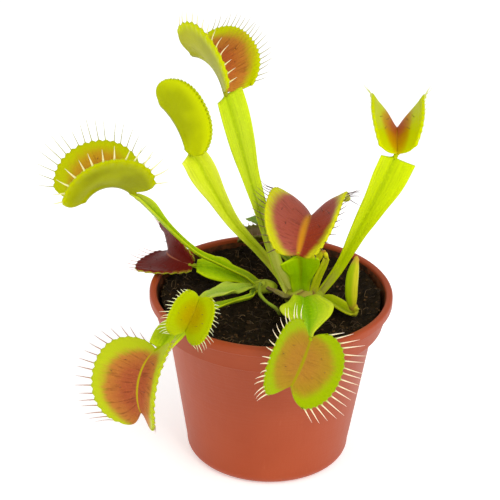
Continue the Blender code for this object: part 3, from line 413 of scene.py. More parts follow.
def trap_grid(hinge, trap, stations, columns, bumps=(0, 0)):
    """Grid over both lobes, hinge to far end by left margin, midrib, right margin."""
    trap = {**PLAIN_TRAP, "far_cup": trap["cup"], **trap}
    aim, face = compass(trap["aim"]), compass(trap["face"])
    face = unit(face - (face @ aim) * aim)
    side = np.cross(aim, face)
    arch = math.radians(trap["arch"])
    fine = np.linspace(0, 1, MIDRIB_STEPS + 1)
    bend = arch * (fine - 0.5)
    along = np.outer(np.cos(bend), aim) - np.outer(np.sin(bend), face)
    steps = (along[1:] + along[:-1]) / 2 * trap["length"] / MIDRIB_STEPS
    midrib = np.vstack([np.zeros(3), np.cumsum(steps, axis=0)]) + hinge
    near_round, far_round = trap["round"]
    grid = np.empty((len(stations), 2 * columns + 1, 3))
    for row, place in enumerate(stations):
        bend = arch * (place - 0.5)
        along = math.cos(bend) * aim - math.sin(bend) * face
        outward = math.cos(bend) * face + math.sin(bend) * aim
        spread = math.radians(trap["fan"]) * (2 * place - 1)
        end = trap["ends"][0] if place < 0.5 else trap["ends"][1]
        width = trap["width"] * (1 - (1 - end) * abs(2 * place - 1) ** trap["shape"])
        cup = trap["cup"] + (trap["far_cup"] - trap["cup"]) * smoothstep(0.45, 1.0, place)
        bulge = far_round * place ** 5 - near_round * (1 - place) ** 5
        start = np.array([np.interp(place, fine, midrib[:, axis]) for axis in range(3)])
        grid[row, columns] = start
        for sign, opening, count, tip in zip((-1, 1), trap["opening"], bumps, trap["tip"]):
            point = start
            scallop = trap["scallop"] * abs(math.sin(math.pi * count * place)) ** 1.3
            for column in range(columns):
                middle = (column + 0.5) / columns
                angle = math.radians(opening + cup * (1 - 2 * middle))
                across = math.cos(angle) * outward + sign * math.sin(angle) * side
                step = math.cos(spread) * across + math.sin(spread) * along
                corner = tip * smoothstep(0.80, 1.0, place) * smoothstep(0.55, 1.0, middle)
                margin = scallop * (middle > SCALLOP_START) * columns / 2
                point = point + step * (width + margin + TIP_GROWTH * corner) / columns
                convex = bulge * math.sin(math.pi * min((column + 1) / columns, 1)) ** 0.8
                grid[row, columns + sign * (column + 1)] = point + convex * along
    return grid


def grid_normals(grid):
    """Direction out of a grid's upper side at each point."""
    return unit(np.cross(np.gradient(grid, axis=1), np.gradient(grid, axis=0)))


# ------------ pieces
VALUES = ("across", "along", "inner", "tip", "zone")


class Piece:
    """Gathers the bodies of one mesh, with each point's place on the plant."""

    def __init__(self):
        self.points, self.faces, self.slots = [], [], []
        self.values = {name: [] for name in VALUES}

    def add(self, points, faces, slot, **values):
        """Adds one body. Values that aren't given are 0."""
        points = np.asarray(points, float).reshape(-1, 3)
        first = sum(len(block) for block in self.points)
        self.points.append(points)
        self.faces += [tuple(first + index for index in face) for face in faces]
        self.slots += [slot] * len(faces)
        for name in VALUES:
            value = np.broadcast_to(np.asarray(values.get(name, 0.0), float), (len(points),))
            self.values[name].append(value)

    def build(self, name, materials, cad_nodes):
        """Makes the object, smooth, riding on the pot's body in place of its CAD nodes."""
        mesh = bpy.data.meshes.new(name)
        mesh.from_pydata((np.vstack(self.points) * MM).tolist(), [], self.faces)
        for label in VALUES:
            data = mesh.attributes.new(label, "FLOAT", "POINT")
            data.data.foreach_set("value", np.concatenate(self.values[label]).astype(np.float32))
        for material in materials:
            mesh.materials.append(material)
        mesh.polygons.foreach_set("material_index", self.slots)
        mesh.shade_smooth()
        mesh.update()
        return dress(new_object(name, mesh), cad_nodes)


def new_object(name, data):
    """An object in the scene with this mesh, lamp or camera."""
    obj = bpy.data.objects.new(name, data)
    bpy.context.scene.collection.objects.link(obj)
    return obj


def dress(obj, cad_nodes):
    """Lets a finished object ride on the pot's body in place of its CAD nodes."""
    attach(obj, "root")
    if cad_nodes:
        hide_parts(*cad_nodes)
    return obj


def shell_faces(rows, columns):
    """Quads round a closed blade: upper grid, lower grid, then the rim's middle line."""
    count = rows * columns
    faces = []
    for row in range(rows - 1):
        for column in range(columns - 1):
            a = row * columns + column
            faces.append((a, a + 1, a + columns + 1, a + columns))
    faces += [tuple(count + index for index in face[::-1]) for face in faces]
    rim = list(range(columns)) + [row * columns + columns - 1 for row in range(1, rows)]
    rim += [count - 1 - column for column in range(1, columns)]
    rim += [row * columns for row in range(rows - 2, 0, -1)]
    middle = 2 * count
    for here in range(len(rim)):
        there = (here + 1) % len(rim)
        faces.append((rim[there], rim[here], middle + here, middle + there))
        faces.append((middle + there, middle + here, count + rim[here], count + rim[there]))
    return faces, rim


def add_shell(piece, upper, lower, slot, across, along, zone=2.0, edge=0.8):
    """Adds a closed blade with a rounded rim between its upper and its lower grid."""
    rows, columns = upper.shape[:2]
    count = rows * columns
    faces, rim = shell_faces(rows, columns)
    grid = (upper + lower) / 2
    out = np.zeros_like(grid)
    out[:, 0] += unit(grid[:, 0] - grid[:, 1])
    out[:, -1] += unit(grid[:, -1] - grid[:, -2])
    out[0] += unit(grid[0] - grid[1])
    out[-1] += unit(grid[-1] - grid[-2])
    half = np.linalg.norm((upper - lower).reshape(-1, 3)[rim], axis=1, keepdims=True) / 2
    rim_points = grid.reshape(-1, 3)[rim] + unit(out.reshape(-1, 3)[rim]) * half * edge
    points = np.vstack([upper.reshape(-1, 3), lower.reshape(-1, 3), rim_points])
    values = dict(inner=np.concatenate([np.ones(count), np.zeros(count), np.full(len(rim), 0.5)]))
    for name, value in (("across", across), ("along", along), ("zone", zone)):
        flat = np.broadcast_to(np.asarray(value, float), (rows, columns)).reshape(-1)
        values[name] = np.concatenate([flat, flat, flat[rim]])
    piece.add(points, faces, slot, **values)


def ring_faces(rows, sides, first=0, turned=False):
    """Quads between neighbouring rings of points; turned where they'd face the wrong way."""
    faces = []
    for row in range(rows - 1):
        for side in range(sides):
            a, b = first + row * sides + side, first + row * sides + (side + 1) % sides
            faces.append((a, a + sides, b + sides, b) if turned else (a, b, b + sides, a + sides))
    return faces


def rings_round(centre, way, wide, radii, sides, thin=1.0):
    """Points of a ring at each place on a line. thin: its other width, against the wide one."""
    angle = math.tau * np.arange(sides) / sides
    ring = (np.cos(angle)[None, :, None] * wide[:, None]
            + thin * np.sin(angle)[None, :, None] * np.cross(way, wide)[:, None])
    return (centre[:, None] + ring * radii[:, None, None]).reshape(-1, 3)


def add_spine(piece, slot, root, direction, flat, bend, length, radius,
              thin=0.6, sides=6, rings=7, curl=0.25, **values):
    """Adds a tapered spine. flat is the wide way of its section; it curves towards bend."""
    share = np.linspace(0, 1, rings)
    centre = root + np.outer(share * length, direction) + np.outer(curl * length * share ** 2, bend)
    way = unit(np.gradient(centre, axis=0))
    wide = unit(flat - (way @ flat)[:, None] * way)
    size = radius * (1 - share) ** 0.8 + SPINE_TIP
    size[0] *= 1.5
    points = rings_round(centre, way, wide, size, sides, thin)
    points = np.vstack([points, centre[-1] + way[-1] * radius * 0.3])
    last = (rings - 1) * sides
    faces = [tuple(range(sides))[::-1]] + ring_faces(rings, sides)
    faces += [(last + side, last + (side + 1) % sides, len(points) - 1) for side in range(sides)]
    piece.add(points, faces, slot, tip=np.concatenate([np.repeat(share, sides), [1.0]]), **values)


def add_tube(piece, slot, points, radii, sides=10, **values):
    """Adds a round stem with closed ends through points, with a radius at each."""
    points = np.asarray(points, float)
    count = len(points)
    radii = np.broadcast_to(radii, (count,)).astype(float)
    way = unit(np.gradient(points, axis=0))
    wide = unit(np.cross(way, np.array([0.3, 0.2, 0.93])))
    faces = [tuple(range(sides))[::-1]] + ring_faces(count, sides)
    faces.append(tuple((count - 1) * sides + side for side in range(sides)))
    along = np.repeat(np.linspace(0, 1, count), sides)
    piece.add(rings_round(points, way, wide, radii, sides), faces, slot, along=along, **values)


# ------------ materials
class Nodes:
    """Short forms for building a material's node tree."""

    def __init__(self, name, roughness=0.5):
        """A new material with its shader, and that roughness where no noise sets it."""
        self.material = bpy.data.materials.new(name)
        self.material.use_nodes = True
        self.tree = self.material.node_tree
        self.shader = self.tree.nodes["Principled BSDF"]
        self.set("Roughness", roughness)

    def new(self, kind, **inputs):
        """A new node with these inputs."""
        node = self.tree.nodes.new(kind)
        for name, value in inputs.items():
            self.put(node.inputs[name], value)
        return node

    def put(self, socket, value):
        """Links another node's output to a socket, or sets the socket's own value."""
        if isinstance(value, bpy.types.NodeSocket):
            self.tree.links.new(value, socket)
        elif socket.type == "RGBA":
            socket.default_value = (*value, 1)
        else:
            socket.default_value = value

    def set(self, name, value):
        """Sets or links one of the shader's inputs."""
        self.put(self.shader.inputs[name], value)

    def attribute(self, name):
        """One of the values that each point of the mesh holds."""
        node = self.new("ShaderNodeAttribute")
        node.attribute_name = name
        return node.outputs["Fac"]

    def place(self):
        """The point's place on the object, in metres."""
        return self.new("ShaderNodeTexCoord").outputs["Object"]

    def math(self, operation, *values):
        """The result of one operation on numbers."""
        node = self.new("ShaderNodeMath")
        node.operation = operation
        for socket, value in zip(node.inputs, values):
            self.put(socket, value)
        return node.outputs[0]

    def times(self, a, b):
        """a times b."""
        return self.math("MULTIPLY", a, b)

    def plus(self, a, b):
        """a plus b."""
        return self.math("ADD", a, b)

    def sway(self, value, soft, width):
        """A value that wanders with a noise, within this width."""
        return self.plus(value, self.times(self.math("SUBTRACT", soft, 0.5), width))

    def vector(self, x, y, z=0.0):
        """A vector from three numbers."""
        node = self.new("ShaderNodeCombineXYZ")
        for socket, value in zip(node.inputs, (x, y, z)):
            self.put(socket, value)
        return node.outputs[0]

    def noise(self, vector, scale, detail=3, roughness=0.5):
        """Smooth noise from 0 to 1."""
        node = self.new("ShaderNodeTexNoise", Vector=vector, Scale=scale, Detail=detail, Roughness=roughness)
        return node.outputs["Fac"]

    def streaks(self, first, second, detail, roughness=0.5):
        """Noise drawn out over a leaf, from two pairs of a value and how fast it changes there."""
        return self.noise(self.vector(self.times(*first), self.times(*second)), 1.0, detail, roughness)

    def step(self, value, low, high):
        """0 where value is at low, 1 where it is at high, smooth between."""
        node = self.new("ShaderNodeMapRange")
        node.interpolation_type = "SMOOTHSTEP"
        for name, setting in (("Value", value), ("From Min", low), ("From Max", high)):
            self.put(node.inputs[name], setting)
        return node.outputs["Result"]

    def mix(self, factor, a, b):
        """Colour a where factor is 0 and b where it is 1."""
        node = self.new("ShaderNodeMix")
        node.data_type = "RGBA"
        first, second = [socket for socket in node.inputs if socket.type == "RGBA"]
        for socket, value in ((node.inputs[0], factor), (first, a), (second, b)):
            self.put(socket, value)
        return [socket for socket in node.outputs if socket.type == "RGBA"][0]

    def cover(self, colour, other, value, low, high, strength=1.0):
        """Colour with another over it, as strong as this where value is at high, gone at low."""
        return self.mix(self.times(self.step(value, low, high), strength), colour, other)

    def surface(self, colour, soft, roughness, swing):
        """The colour, and a roughness that rises by swing with a noise."""
        self.set("Base Color", colour)
        self.set("Roughness", self.plus(roughness, self.times(soft, swing)))

    def relief(self, depth, *layers):
        """Bumps up to this many metres high, from pairs of a noise and its share."""
        height = 0.0
        for layer, share in layers:
            height = self.plus(height, self.times(layer, share))
        node = self.new("ShaderNodeBump", Height=height, Distance=depth, Strength=1.0)
        self.set("Normal", node.outputs["Normal"])

    def gloss(self, level, tint):
        """How strongly the surface reflects, and in what colour."""
        self.set("Specular IOR Level", level)
        self.set("Specular Tint", tint)

    def flesh(self, weight, tint, depth=0.0012):
        """Lets a share of the light in, as many metres deep as depth times the tint."""
        self.set("Subsurface Weight", weight)
        self.set("Subsurface Radius", tint)
        self.set("Subsurface Scale", depth)


def shade(colour, factor):
    """A colour made lighter or darker."""
    return tuple(value * factor for value in colour)


def stalk_material(name, colours):
    """A leaf stalk: green by its place along and across, with fine veins along it."""
    root, body, hinge, channel, edge = colours
    root_end, edge_start = OWN_BANDS.get(name, STALK_BANDS)
    n = Nodes("leaf " + name)
    across, along, place = n.attribute("across"), n.attribute("along"), n.place()
    near = n.math("ABSOLUTE", across)
    soft, mottled = n.noise(place, 110), n.noise(place, 900, 2)
    veins = n.streaks((across, 11.0), (along, 5.0), 4)
    drift = n.sway(along, soft, 0.12)
    # the root colour; on the closed and tall stalks partly painted light
    colour = n.cover(root, body, drift, 0.02, root_end)
    colour = n.cover(colour, hinge, drift, 0.75, 1.0)
    colour = n.cover(colour, edge, n.sway(near, soft, 0.25), edge_start, 1.0, 0.85)
    rib = n.times(n.math("SUBTRACT", 1.0, n.step(near, 0.03, 0.22)), n.step(along, 0.15, 0.4))
    colour = n.mix(n.times(rib, n.times(n.attribute("inner"), 0.75)), colour, channel)
    colour = n.cover(colour, shade(body, 0.60), veins, 0.42, 0.72, 0.34)
    colour = n.cover(colour, shade(edge, 1.15), mottled, 0.50, 0.74, 0.30)
    n.surface(colour, soft, 0.34, 0.16)
    n.gloss(0.16, LEAF_SHINE)
    n.flesh(0.20, LEAF_GLOW)
    n.relief(0.00026, (veins, 1.0), (mottled, 0.35))
    return n.material


def trap_material(name, colours):
    """A trap's lobes: coloured glands inside a green margin, veined, green outside."""
    (centre, rim), margin, back = colours["inside"], colours["margin"], colours["outside"]
    rib_width = colours.get("rib_width", RIB_WIDTH)
    n = Nodes("trap " + name)
    across, along, inner = n.attribute("across"), n.attribute("along"), n.attribute("inner")
    near, place = n.math("ABSOLUTE", across), n.place()
    soft, fine, broad = n.noise(place, 160), n.noise(place, 1500, 3, 0.65), n.noise(place, 70, 2)
    rays = n.streaks((along, 46.0), (across, 2.4), 3, 0.6)
    zone = n.sway(n.sway(n.attribute("zone"), soft, 0.22), rays, 0.20)
    inside = n.cover(centre, rim, zone, 0.35, 0.9)
    # the right lobe's own inside colour where given; on the centre trap partly painted shade
    if "right" in colours:
        inside = n.cover(inside, colours["right"], n.sway(across, soft, 0.3), -0.35, 0.25)
    inside = n.cover(inside, shade(centre, 0.45), rays, 0.48, 0.70, colours["veins"] * 0.7)
    inside = n.cover(inside, shade(rim, 1.45), fine, 0.52, 0.75, 0.30)
    inside = n.cover(inside, margin, zone, 0.80, 1.15)
    rib = n.math("SUBTRACT", 1.0, n.step(near, rib_width * 0.2, rib_width))
    inside = n.mix(n.times(rib, 0.85), inside, colours["rib"])
    outside = n.cover(shade(back, 1.14), shade(back, 0.82), broad, 0.35, 0.65)
    veins = n.streaks((along, 30.0), (across, 3.0), 2)
    outside = n.cover(outside, shade(margin, 1.1), veins, 0.4, 0.8, 0.08)
    outside = n.cover(outside, margin, near, 0.70, 1.0)
    n.surface(n.cover(outside, inside, inner, 0.3, 0.7), fine, 0.34, 0.2)
    n.gloss(colours.get("gloss", TRAP_GLOSS), LEAF_SHINE)
    n.flesh(0.18, (1.0, 0.8, 0.15))
    n.relief(0.00014, (fine, 0.6), (rays, n.plus(0.25, inner)))
    return n.material


def tooth_material(name, colours):
    """Teeth: the margin's colour at the root, paler or darker towards the tip."""
    root, middle, end = colours
    n = Nodes("teeth " + name)
    tip, streak = n.attribute("tip"), n.noise(n.place(), 700, 2)
    colour = n.cover(root, middle, tip, 0.02, 0.30)
    colour = n.cover(colour, end, tip, 0.45, 1.0)
    n.surface(n.mix(n.times(streak, 0.3), colour, shade(middle, 0.8)), streak, 0.28, 0.15)
    n.flesh(0.25, (1.0, 0.8, 0.4), 0.0006)
    return n.material


def bud_material(name, colours):
    """A folded young trap: lighter along the seam, tinged at its ends."""
    light, side, tinge = colours
    n = Nodes("bud " + name)
    across, along, soft = n.attribute("across"), n.attribute("along"), n.noise(n.place(), 260)
    streaks = n.streaks((across, 9.0), (along, 4.0), 3)
    ends = n.math("ABSOLUTE", n.math("SUBTRACT", n.times(along, 2.0), 1.0))
    colour = n.cover(light, side, n.plus(across, n.times(soft, 0.15)), 0.35, 0.75)
    colour = n.cover(colour, shade(side, 0.7), streaks, 0.45, 0.7, 0.25)
    colour = n.cover(colour, tinge, ends, 0.7, 1.0, 0.8)
    n.surface(colour, soft, 0.36, 0.14)
    n.gloss(0.16, LEAF_SHINE)
    n.flesh(0.2, LEAF_GLOW)
    n.relief(0.00014, (streaks, 1.0), (soft, 0.3))
    return n.material


def hair_material():
    """Trigger hairs: nearly black."""
    n = Nodes("trigger hair", 0.4)
    n.set("Base Color", n.mix(n.noise(n.place(), 800, 2), (0.06, 0.018, 0.012), (0.12, 0.05, 0.02)))
    return n.material


def pot_material():
    """Moulded terracotta-coloured plastic: fine grain, faint rings, scuffs, and painted shade in dark brown
    on the inside wall.
    """
    n = Nodes("pot plastic")
    place = n.place()
    x, y, z = n.new("ShaderNodeSeparateXYZ", Vector=place).outputs
    grain, rings = n.noise(place, 2600, 2), n.noise(n.vector(0.0, 0.0, z), 900, 2)
    scuff = n.noise(n.vector(n.times(x, 3.0), n.times(y, 3.0), n.times(z, 0.6)), 160, 5, 0.7)
    plastic = n.cover((0.335, 0.050, 0.012), (0.375, 0.062, 0.017), n.noise(place, 28, 4), 0.35, 0.68)
    plastic = n.cover(plastic, (0.50, 0.14, 0.065), scuff, 0.60, 0.78, 0.18)
    # painted shade for the inside wall: a dark brown, varied by a noise, laid over the marked inside
    peat = n.cover((0.030, 0.013, 0.006), (0.16, 0.042, 0.014), n.noise(place, 170, 4, 0.7), 0.40, 0.66)
    painted_shade = n.sway(n.attribute("painted_shade"), scuff, 0.5)
    n.surface(n.cover(plastic, peat, painted_shade, 0.15, 0.85), scuff, 0.40, 0.14)
    n.gloss(0.28, (1.0, 0.82, 0.70))
    n.flesh(0.06, (1.0, 0.4, 0.2), 0.002)
    n.relief(0.0001, (grain, 0.25), (rings, 0.6), (scuff, 0.5))
    return n.material


def soil_material(name, dark, light):
    """Moist peat: near black, with browner crumbs and pale specks."""
    n = Nodes(name)
    place = n.place()
    lumps, fine = n.noise(place, 320, 5, 0.7), n.noise(place, 2400, 3, 0.7)
    cracks = n.new("ShaderNodeTexVoronoi", Vector=place, Scale=900).outputs["Distance"]
    colour = n.cover(dark, light, lumps, 0.36, 0.70)
    colour = n.cover(colour, shade(light, 2.6), fine, 0.60, 0.78, 0.5)
    colour = n.cover(shade(dark, 0.6), colour, cracks, 0.0, 0.35, 0.5)
    n.surface(colour, fine, 0.72, 0.25)
    n.gloss(0.10, (1.0, 0.9, 0.75))
    n.relief(0.0007, (lumps, 1.0), (fine, 0.5))
    return n.material


def fibre_material():
    """Roots and moss fibres, dark brown to straw."""
    n = Nodes("peat fibre", 0.8)
    place = n.place()
    pick = n.noise(place, 220, 1)
    n.set("Base Color", n.cover((0.035, 0.019, 0.008), (0.17, 0.10, 0.040), pick, 0.40, 0.62))
    n.relief(0.0001, (n.noise(place, 2200, 2), 1.0))
    return n.material


def rhizome_material(name, light, tinge, dark):
    """The leaf bases round the growing point: pale green to pinkish brown scales."""
    n = Nodes("rhizome skin " + name)
    place = n.place()
    soft = n.noise(place, 180, 4)
    colour = n.cover(light, tinge, soft, 0.35, 0.65)
    n.surface(n.cover(colour, dark, n.attribute("tip"), 0.55, 0.95), soft, 0.40, 0.2)
    n.gloss(0.15, (1.0, 1.0, 0.4))
    n.flesh(0.15, (1.0, 0.8, 0.4))
    n.relief(0.00015, (n.noise(place, 1100), 1.0))
    return n.material


# ------------ the plant
def make_stalk(name, cad_node, leaf, seed, material):
    """A leaf's winged stalk."""
    upper, lower, across, along = stalk_grids(leaf, seed)
    piece = Piece()
    add_shell(piece, upper, lower, 0, across, along, edge=0.6)
    return piece.build(name, [material], [cad_node])


def add_neck(piece, slot, leaf, midrib):
    """The pinkish neck that runs from the stalk into the trap's midrib."""
    fine, run = curve_points(leaf["path"])
    before, _ = on_curve(fine, run, run[-1] - np.array([2.2, 1.6, 1.0, 0.4]))
    points = np.vstack([before, midrib[1:5:2] * 0.97 + before[-1] * 0.03])
    add_tube(piece, slot, points, NECK_RADII, zone=2.0)


def add_teeth(piece, trap, shaped, normals, rng):
    """The spines along both margins, leaning as the trap's entry says."""
    last = TRAP_STATIONS - 1
    for lobe, (count, length, radius) in enumerate(trap["teeth"]):
        edge, inner = (0, 3) if lobe == 0 else (-1, -4)
        for place in (np.arange(count) + 0.5) / count:
            row = int(round(place * last))
            out = unit(shaped[row, edge] - shaped[row, inner])
            step = unit(shaped[min(row + 1, last), edge] - shaped[max(row - 1, 0), edge])
            face = normals[row, edge]
            splay = trap["splay"] * (2 * place - 1) ** 3 + rng.normal(0, TOOTH_STRAY)
            way = unit(out + splay * step + (rng.normal(0, TOOTH_STRAY) - trap["lean"]) * face)
            share = 1 - 0.35 * abs(2 * place - 1) ** 4 + trap["spur"] * place ** 8
            add_spine(piece, 1 + lobe, shaped[row, edge] - out * TOOTH_ROOT, way, step, face,
                      length * share * rng.uniform(*TOOTH_LENGTHS) + TOOTH_ROOT, radius,
                      curl=rng.uniform(*TOOTH_CURLS))


def add_hairs(piece, size, upper, normals, rng):
    """The three trigger hairs inside each lobe."""
    for lobe in (-1, 1):
        for place, share in HAIR_PLACES:
            row = int(place * (TRAP_STATIONS - 1))
            column = TRAP_COLUMNS + lobe * int(share * TRAP_COLUMNS)
            way = unit(normals[row, column] + rng.normal(0, 0.25, 3))
            flat = unit(np.cross(way, [0.2, 0.3, 0.9]))
            add_spine(piece, 3, upper[row, column] - way * 0.2, way, flat, flat,
                      HAIR_LENGTH * size, HAIR_RADIUS, thin=1.0, sides=5, rings=4, curl=0.1)


def make_trap(name, leaf, seed):
    """Both lobes, their teeth, trigger hairs and neck."""
    trap, colours = {**PLAIN_TRAP, **leaf["trap"]}, TRAP_COLOURS[name]
    rng = np.random.default_rng(TRAP_SEED + seed)
    stations = np.linspace(0, 1, TRAP_STATIONS)
    counts = [teeth[0] for teeth in trap["teeth"]]
    grid = trap_grid(np.array(leaf["path"][-1], float), trap, stations, TRAP_COLUMNS, counts)
    across, along = np.meshgrid(np.linspace(-1, 1, 2 * TRAP_COLUMNS + 1), stations)
    near = np.abs(across)
    normals = grid_normals(grid)
    size = trap["length"] / USUAL_TRAP
    openness = min(1, min(trap["opening"]) / 20 + 0.1)
    ripple = np.zeros_like(across)
    for sign, count in zip((-1, 1), counts):
        wave = np.cos(math.tau * count * along + seed) * smoothstep(0.80, 1.0, near)
        ripple += (np.sign(across) == sign) * wave * RIPPLE * size * openness
    swell = SWELL * size * np.sin(7 * along + 3 * across + seed) * np.sin(5 * across - 2 * along + 2 * seed)
    shaped = grid + normals * (ripple + swell * (near > 0.05))[..., None]
    thick = LOBE_THICKNESS + RIB_EXTRA * np.exp(-(near / 0.09) ** 2)
    thick = (thick + MARGIN_EXTRA * smoothstep(0.80, 0.97, near)) * (0.55 + 0.45 * min(size, 1))
    above, below = LOBE_SPLIT
    upper = shaped + normals * (thick * above)[..., None]
    lower = shaped - normals * (thick * below)[..., None]
    reach, length, shift = colours["zone"]
    zone = np.hypot(across / reach, (2 * along - 1 - shift) / length * 0.8)
    piece = Piece()
    add_shell(piece, upper, lower, 0, across, along, zone)
    add_neck(piece, 0, leaf, shaped[:, TRAP_COLUMNS])
    add_teeth(piece, trap, shaped, normals, rng)
    if trap["length"] > 10 and min(trap["opening"]) > 20:
        add_hairs(piece, size, upper, normals, rng)
    teeth = right_teeth = tooth_material(name, colours["teeth"])
    if "teeth_right" in colours:
        right_teeth = tooth_material(name + " right", colours["teeth_right"])
    materials = [trap_material(name, colours), teeth, right_teeth, HAIR]
    return piece.build("look_trap_" + name, materials, ["trap_" + name])


def make_bud(name, leaf, seed):
    """A young trap whose lobes are still pressed together: a fold with a seam."""
    bud = leaf["bud"]
    shape = dict(bud, opening=(0, 0), cup=0)
    stations = np.linspace(0, 1, BUD_STATIONS)
    lobe = trap_grid(np.array(leaf["path"][-1], float), shape, stations, BUD_COLUMNS)[:, BUD_COLUMNS:]
    across, along = np.meshgrid(np.linspace(0, 1, BUD_COLUMNS + 1), stations)
    normals = grid_normals(lobe)
    profile = np.sqrt(np.clip(1 - (2 * across - 0.8) ** 2 * 0.36, 0.1, 1))
    ends = np.sqrt(np.clip(1 - (2 * along - 1) ** 6, 0.15, 1))
    seam = 1 - 0.25 * np.exp(-((across - 0.97) / 0.03) ** 2)
    rise = normals * (bud["thick"] * profile * ends * seam / 2)[..., None]
    piece = Piece()
    add_shell(piece, lobe + rise, lobe - rise, 0, across, along, edge=0.7)
    add_neck(piece, 0, leaf, lobe[:, 0])
    rng = np.random.default_rng(BUD_SEED + seed)
    for row in range(3, BUD_STATIONS - 2, 4):
        out = unit(lobe[row, -1] - lobe[row, -4])
        step = unit(lobe[row + 1, -1] - lobe[row - 1, -1])
        way = unit(out + rng.normal(0, 0.1) * step)
        add_spine(piece, 0, lobe[row, -1] - out * 0.2, way, step, normals[row, -1], 0.5, 0.16,
                  rings=3, across=0.2, along=0.5)
    material = bud_material(name, BUD_COLOURS[name])
    return piece.build("look_bud_" + name, [material], ["bud_" + name])


def make_rhizome(name, seed, colours):
    """A bulb wrapped in overlapping leaf bases."""
    low, high = (np.array(corner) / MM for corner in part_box(name))
    centre, half = (low + high) / 2, (high - low) / 2
    points, tips = [], []
    for row in range(BULB_ROWS + 1):
        tilt = math.pi * row / BULB_ROWS
        for side in range(BULB_SIDES):
            turn = math.tau * side / BULB_SIDES
            scale = (turn * BULB_SCALES / math.tau + 2.2 * row / BULB_ROWS + seed * 0.3) % 1
            way = np.array([math.sin(tilt) * math.cos(turn), math.sin(tilt) * math.sin(turn), math.cos(tilt)])
            points.append(centre + half * (0.90 + 0.10 * scale) * way)
            tips.append(1 - scale)
    piece = Piece()
    piece.add(points, ring_faces(BULB_ROWS + 1, BULB_SIDES, turned=True), 0, tip=np.array(tips))
    return piece.build("look_" + name, [rhizome_material(name, *colours)], [name])


def make_runner():
    """The thin loose stem that arches out of the side rhizome."""
    fine, run = curve_points(RUNNER_PATH)
    points, _ = on_curve(fine, run, np.linspace(0, run[-1], RUNNER_STATIONS))
    radii = RUNNER_RADIUS * (1 + 0.12 * np.sin(np.linspace(0, 17, RUNNER_STATIONS)))
    piece = Piece()
    add_tube(piece, 0, points, radii, 12, across=0.5)
    return piece.build("look_runner", [stalk_material("runner", RUNNER_COLOURS)], ["runner"])


# ------------ the pot and its soil
POT_HEIGHT = 63.0
RIM_RADIUS = 42.5
LIP_HEIGHT = 3.4
LIP_WIDTH = 2.4
COLLAR_TOP_RADIUS = 41.5
COLLAR_BOTTOM_RADIUS = 39.5
COLLAR_HEIGHT = 11.0
WALL_TOP_RADIUS = 36.4
BASE_RADIUS = 28.9
BASE_FILLET = 3.8
WALL = 1.2
FLOOR = 1.6
DRAIN_HOLES = 6
DRAIN_RADIUS = 3.0
DRAIN_CIRCLE = 17.0
POT_STEPS = 180
PAINTED_SHADE_TOP = POT_HEIGHT - 1.7   # how high the painted shade on the inside reaches


def arc(centre, radius, start, end, count):
    """Points on an arc in the profile plane, angles in degrees from +X."""
    x, y = centre
    angles = np.radians(np.linspace(start, end, count))
    return [(x + radius * math.cos(angle), y + radius * math.sin(angle)) for angle in angles]


def pot_profile():
    """The pot's section, from the floor's middle up inside, over the lip and down outside."""
    step = POT_HEIGHT - COLLAR_HEIGHT
    fillet = BASE_FILLET - WALL
    soft = LIP_WIDTH / 2 - 0.3
    top = POT_HEIGHT - soft
    collar, collar_start = COLLAR_BOTTOM_RADIUS - WALL, step + 1.7
    under_lip = RIM_RADIUS - LIP_WIDTH
    # the wall's point at the top of the painted shade inside
    painted_shade = collar + (under_lip - collar) * (PAINTED_SHADE_TOP - collar_start) / (top - collar_start)
    lip_foot = POT_HEIGHT - LIP_HEIGHT
    points = [(0, FLOOR)]
    points += arc((BASE_RADIUS - WALL - fillet, FLOOR + fillet), fillet, -90, -10, 6)
    points += [(WALL_TOP_RADIUS - WALL, step + 0.9), (collar, collar_start)]
    points += [(painted_shade, PAINTED_SHADE_TOP), (under_lip, top)]
    points += arc((under_lip + soft, top), soft, 160, 90, 6)
    points += arc((RIM_RADIUS - soft, top), soft, 90, 0, 7)
    points += arc((RIM_RADIUS - 0.4, lip_foot + 0.4), 0.4, 0, -90, 4)
    points += [(COLLAR_TOP_RADIUS + 0.05, lip_foot), (COLLAR_TOP_RADIUS, lip_foot - 0.2)]
    points += arc((COLLAR_BOTTOM_RADIUS - 0.5, step + 0.5), 0.5, 8, -90, 5)
    points += [(WALL_TOP_RADIUS + 0.3, step), (WALL_TOP_RADIUS, step - 0.3)]
    points += arc((BASE_RADIUS - BASE_FILLET, BASE_FILLET), BASE_FILLET, 6, -90, 10)
    return points + [(0, 0)]


def make_drill():
    """The rods that the pot's drain holes are cut with."""
    drill = bmesh.new()
    for index in range(DRAIN_HOLES):
        angle = math.tau * index / DRAIN_HOLES
        made = bmesh.ops.create_cone(drill, cap_ends=True, segments=32, radius1=DRAIN_RADIUS * MM,
                                     radius2=DRAIN_RADIUS * MM, depth=4 * FLOOR * MM)
        place = Vector((math.cos(angle), math.sin(angle), 0)) * DRAIN_CIRCLE * MM
        bmesh.ops.translate(drill, verts=made["verts"], vec=place)
    mesh = bpy.data.meshes.new("drill")
    drill.to_mesh(mesh)
    drill.free()
    return new_object("drill", mesh)


def mark_painted_shade(mesh):
    """Marks the inside of the collar and upper wall, which gets painted shade."""
    places = np.array([vertex.co[:] for vertex in mesh.vertices]) / MM
    height = places[:, 2]
    step = POT_HEIGHT - COLLAR_HEIGHT
    outside = np.interp(height, [0, step, step + 0.01, POT_HEIGHT],
                        [BASE_RADIUS, WALL_TOP_RADIUS, COLLAR_BOTTOM_RADIUS, COLLAR_TOP_RADIUS])
    inside = np.hypot(places[:, 0], places[:, 1]) < outside - WALL / 2
    in_painted_shade = inside & (height > POT_HEIGHT / 2) & (height < PAINTED_SHADE_TOP + 0.01)
    mesh.attributes.new("painted_shade", "FLOAT", "POINT").data.foreach_set("value", in_painted_shade.astype(np.float32))


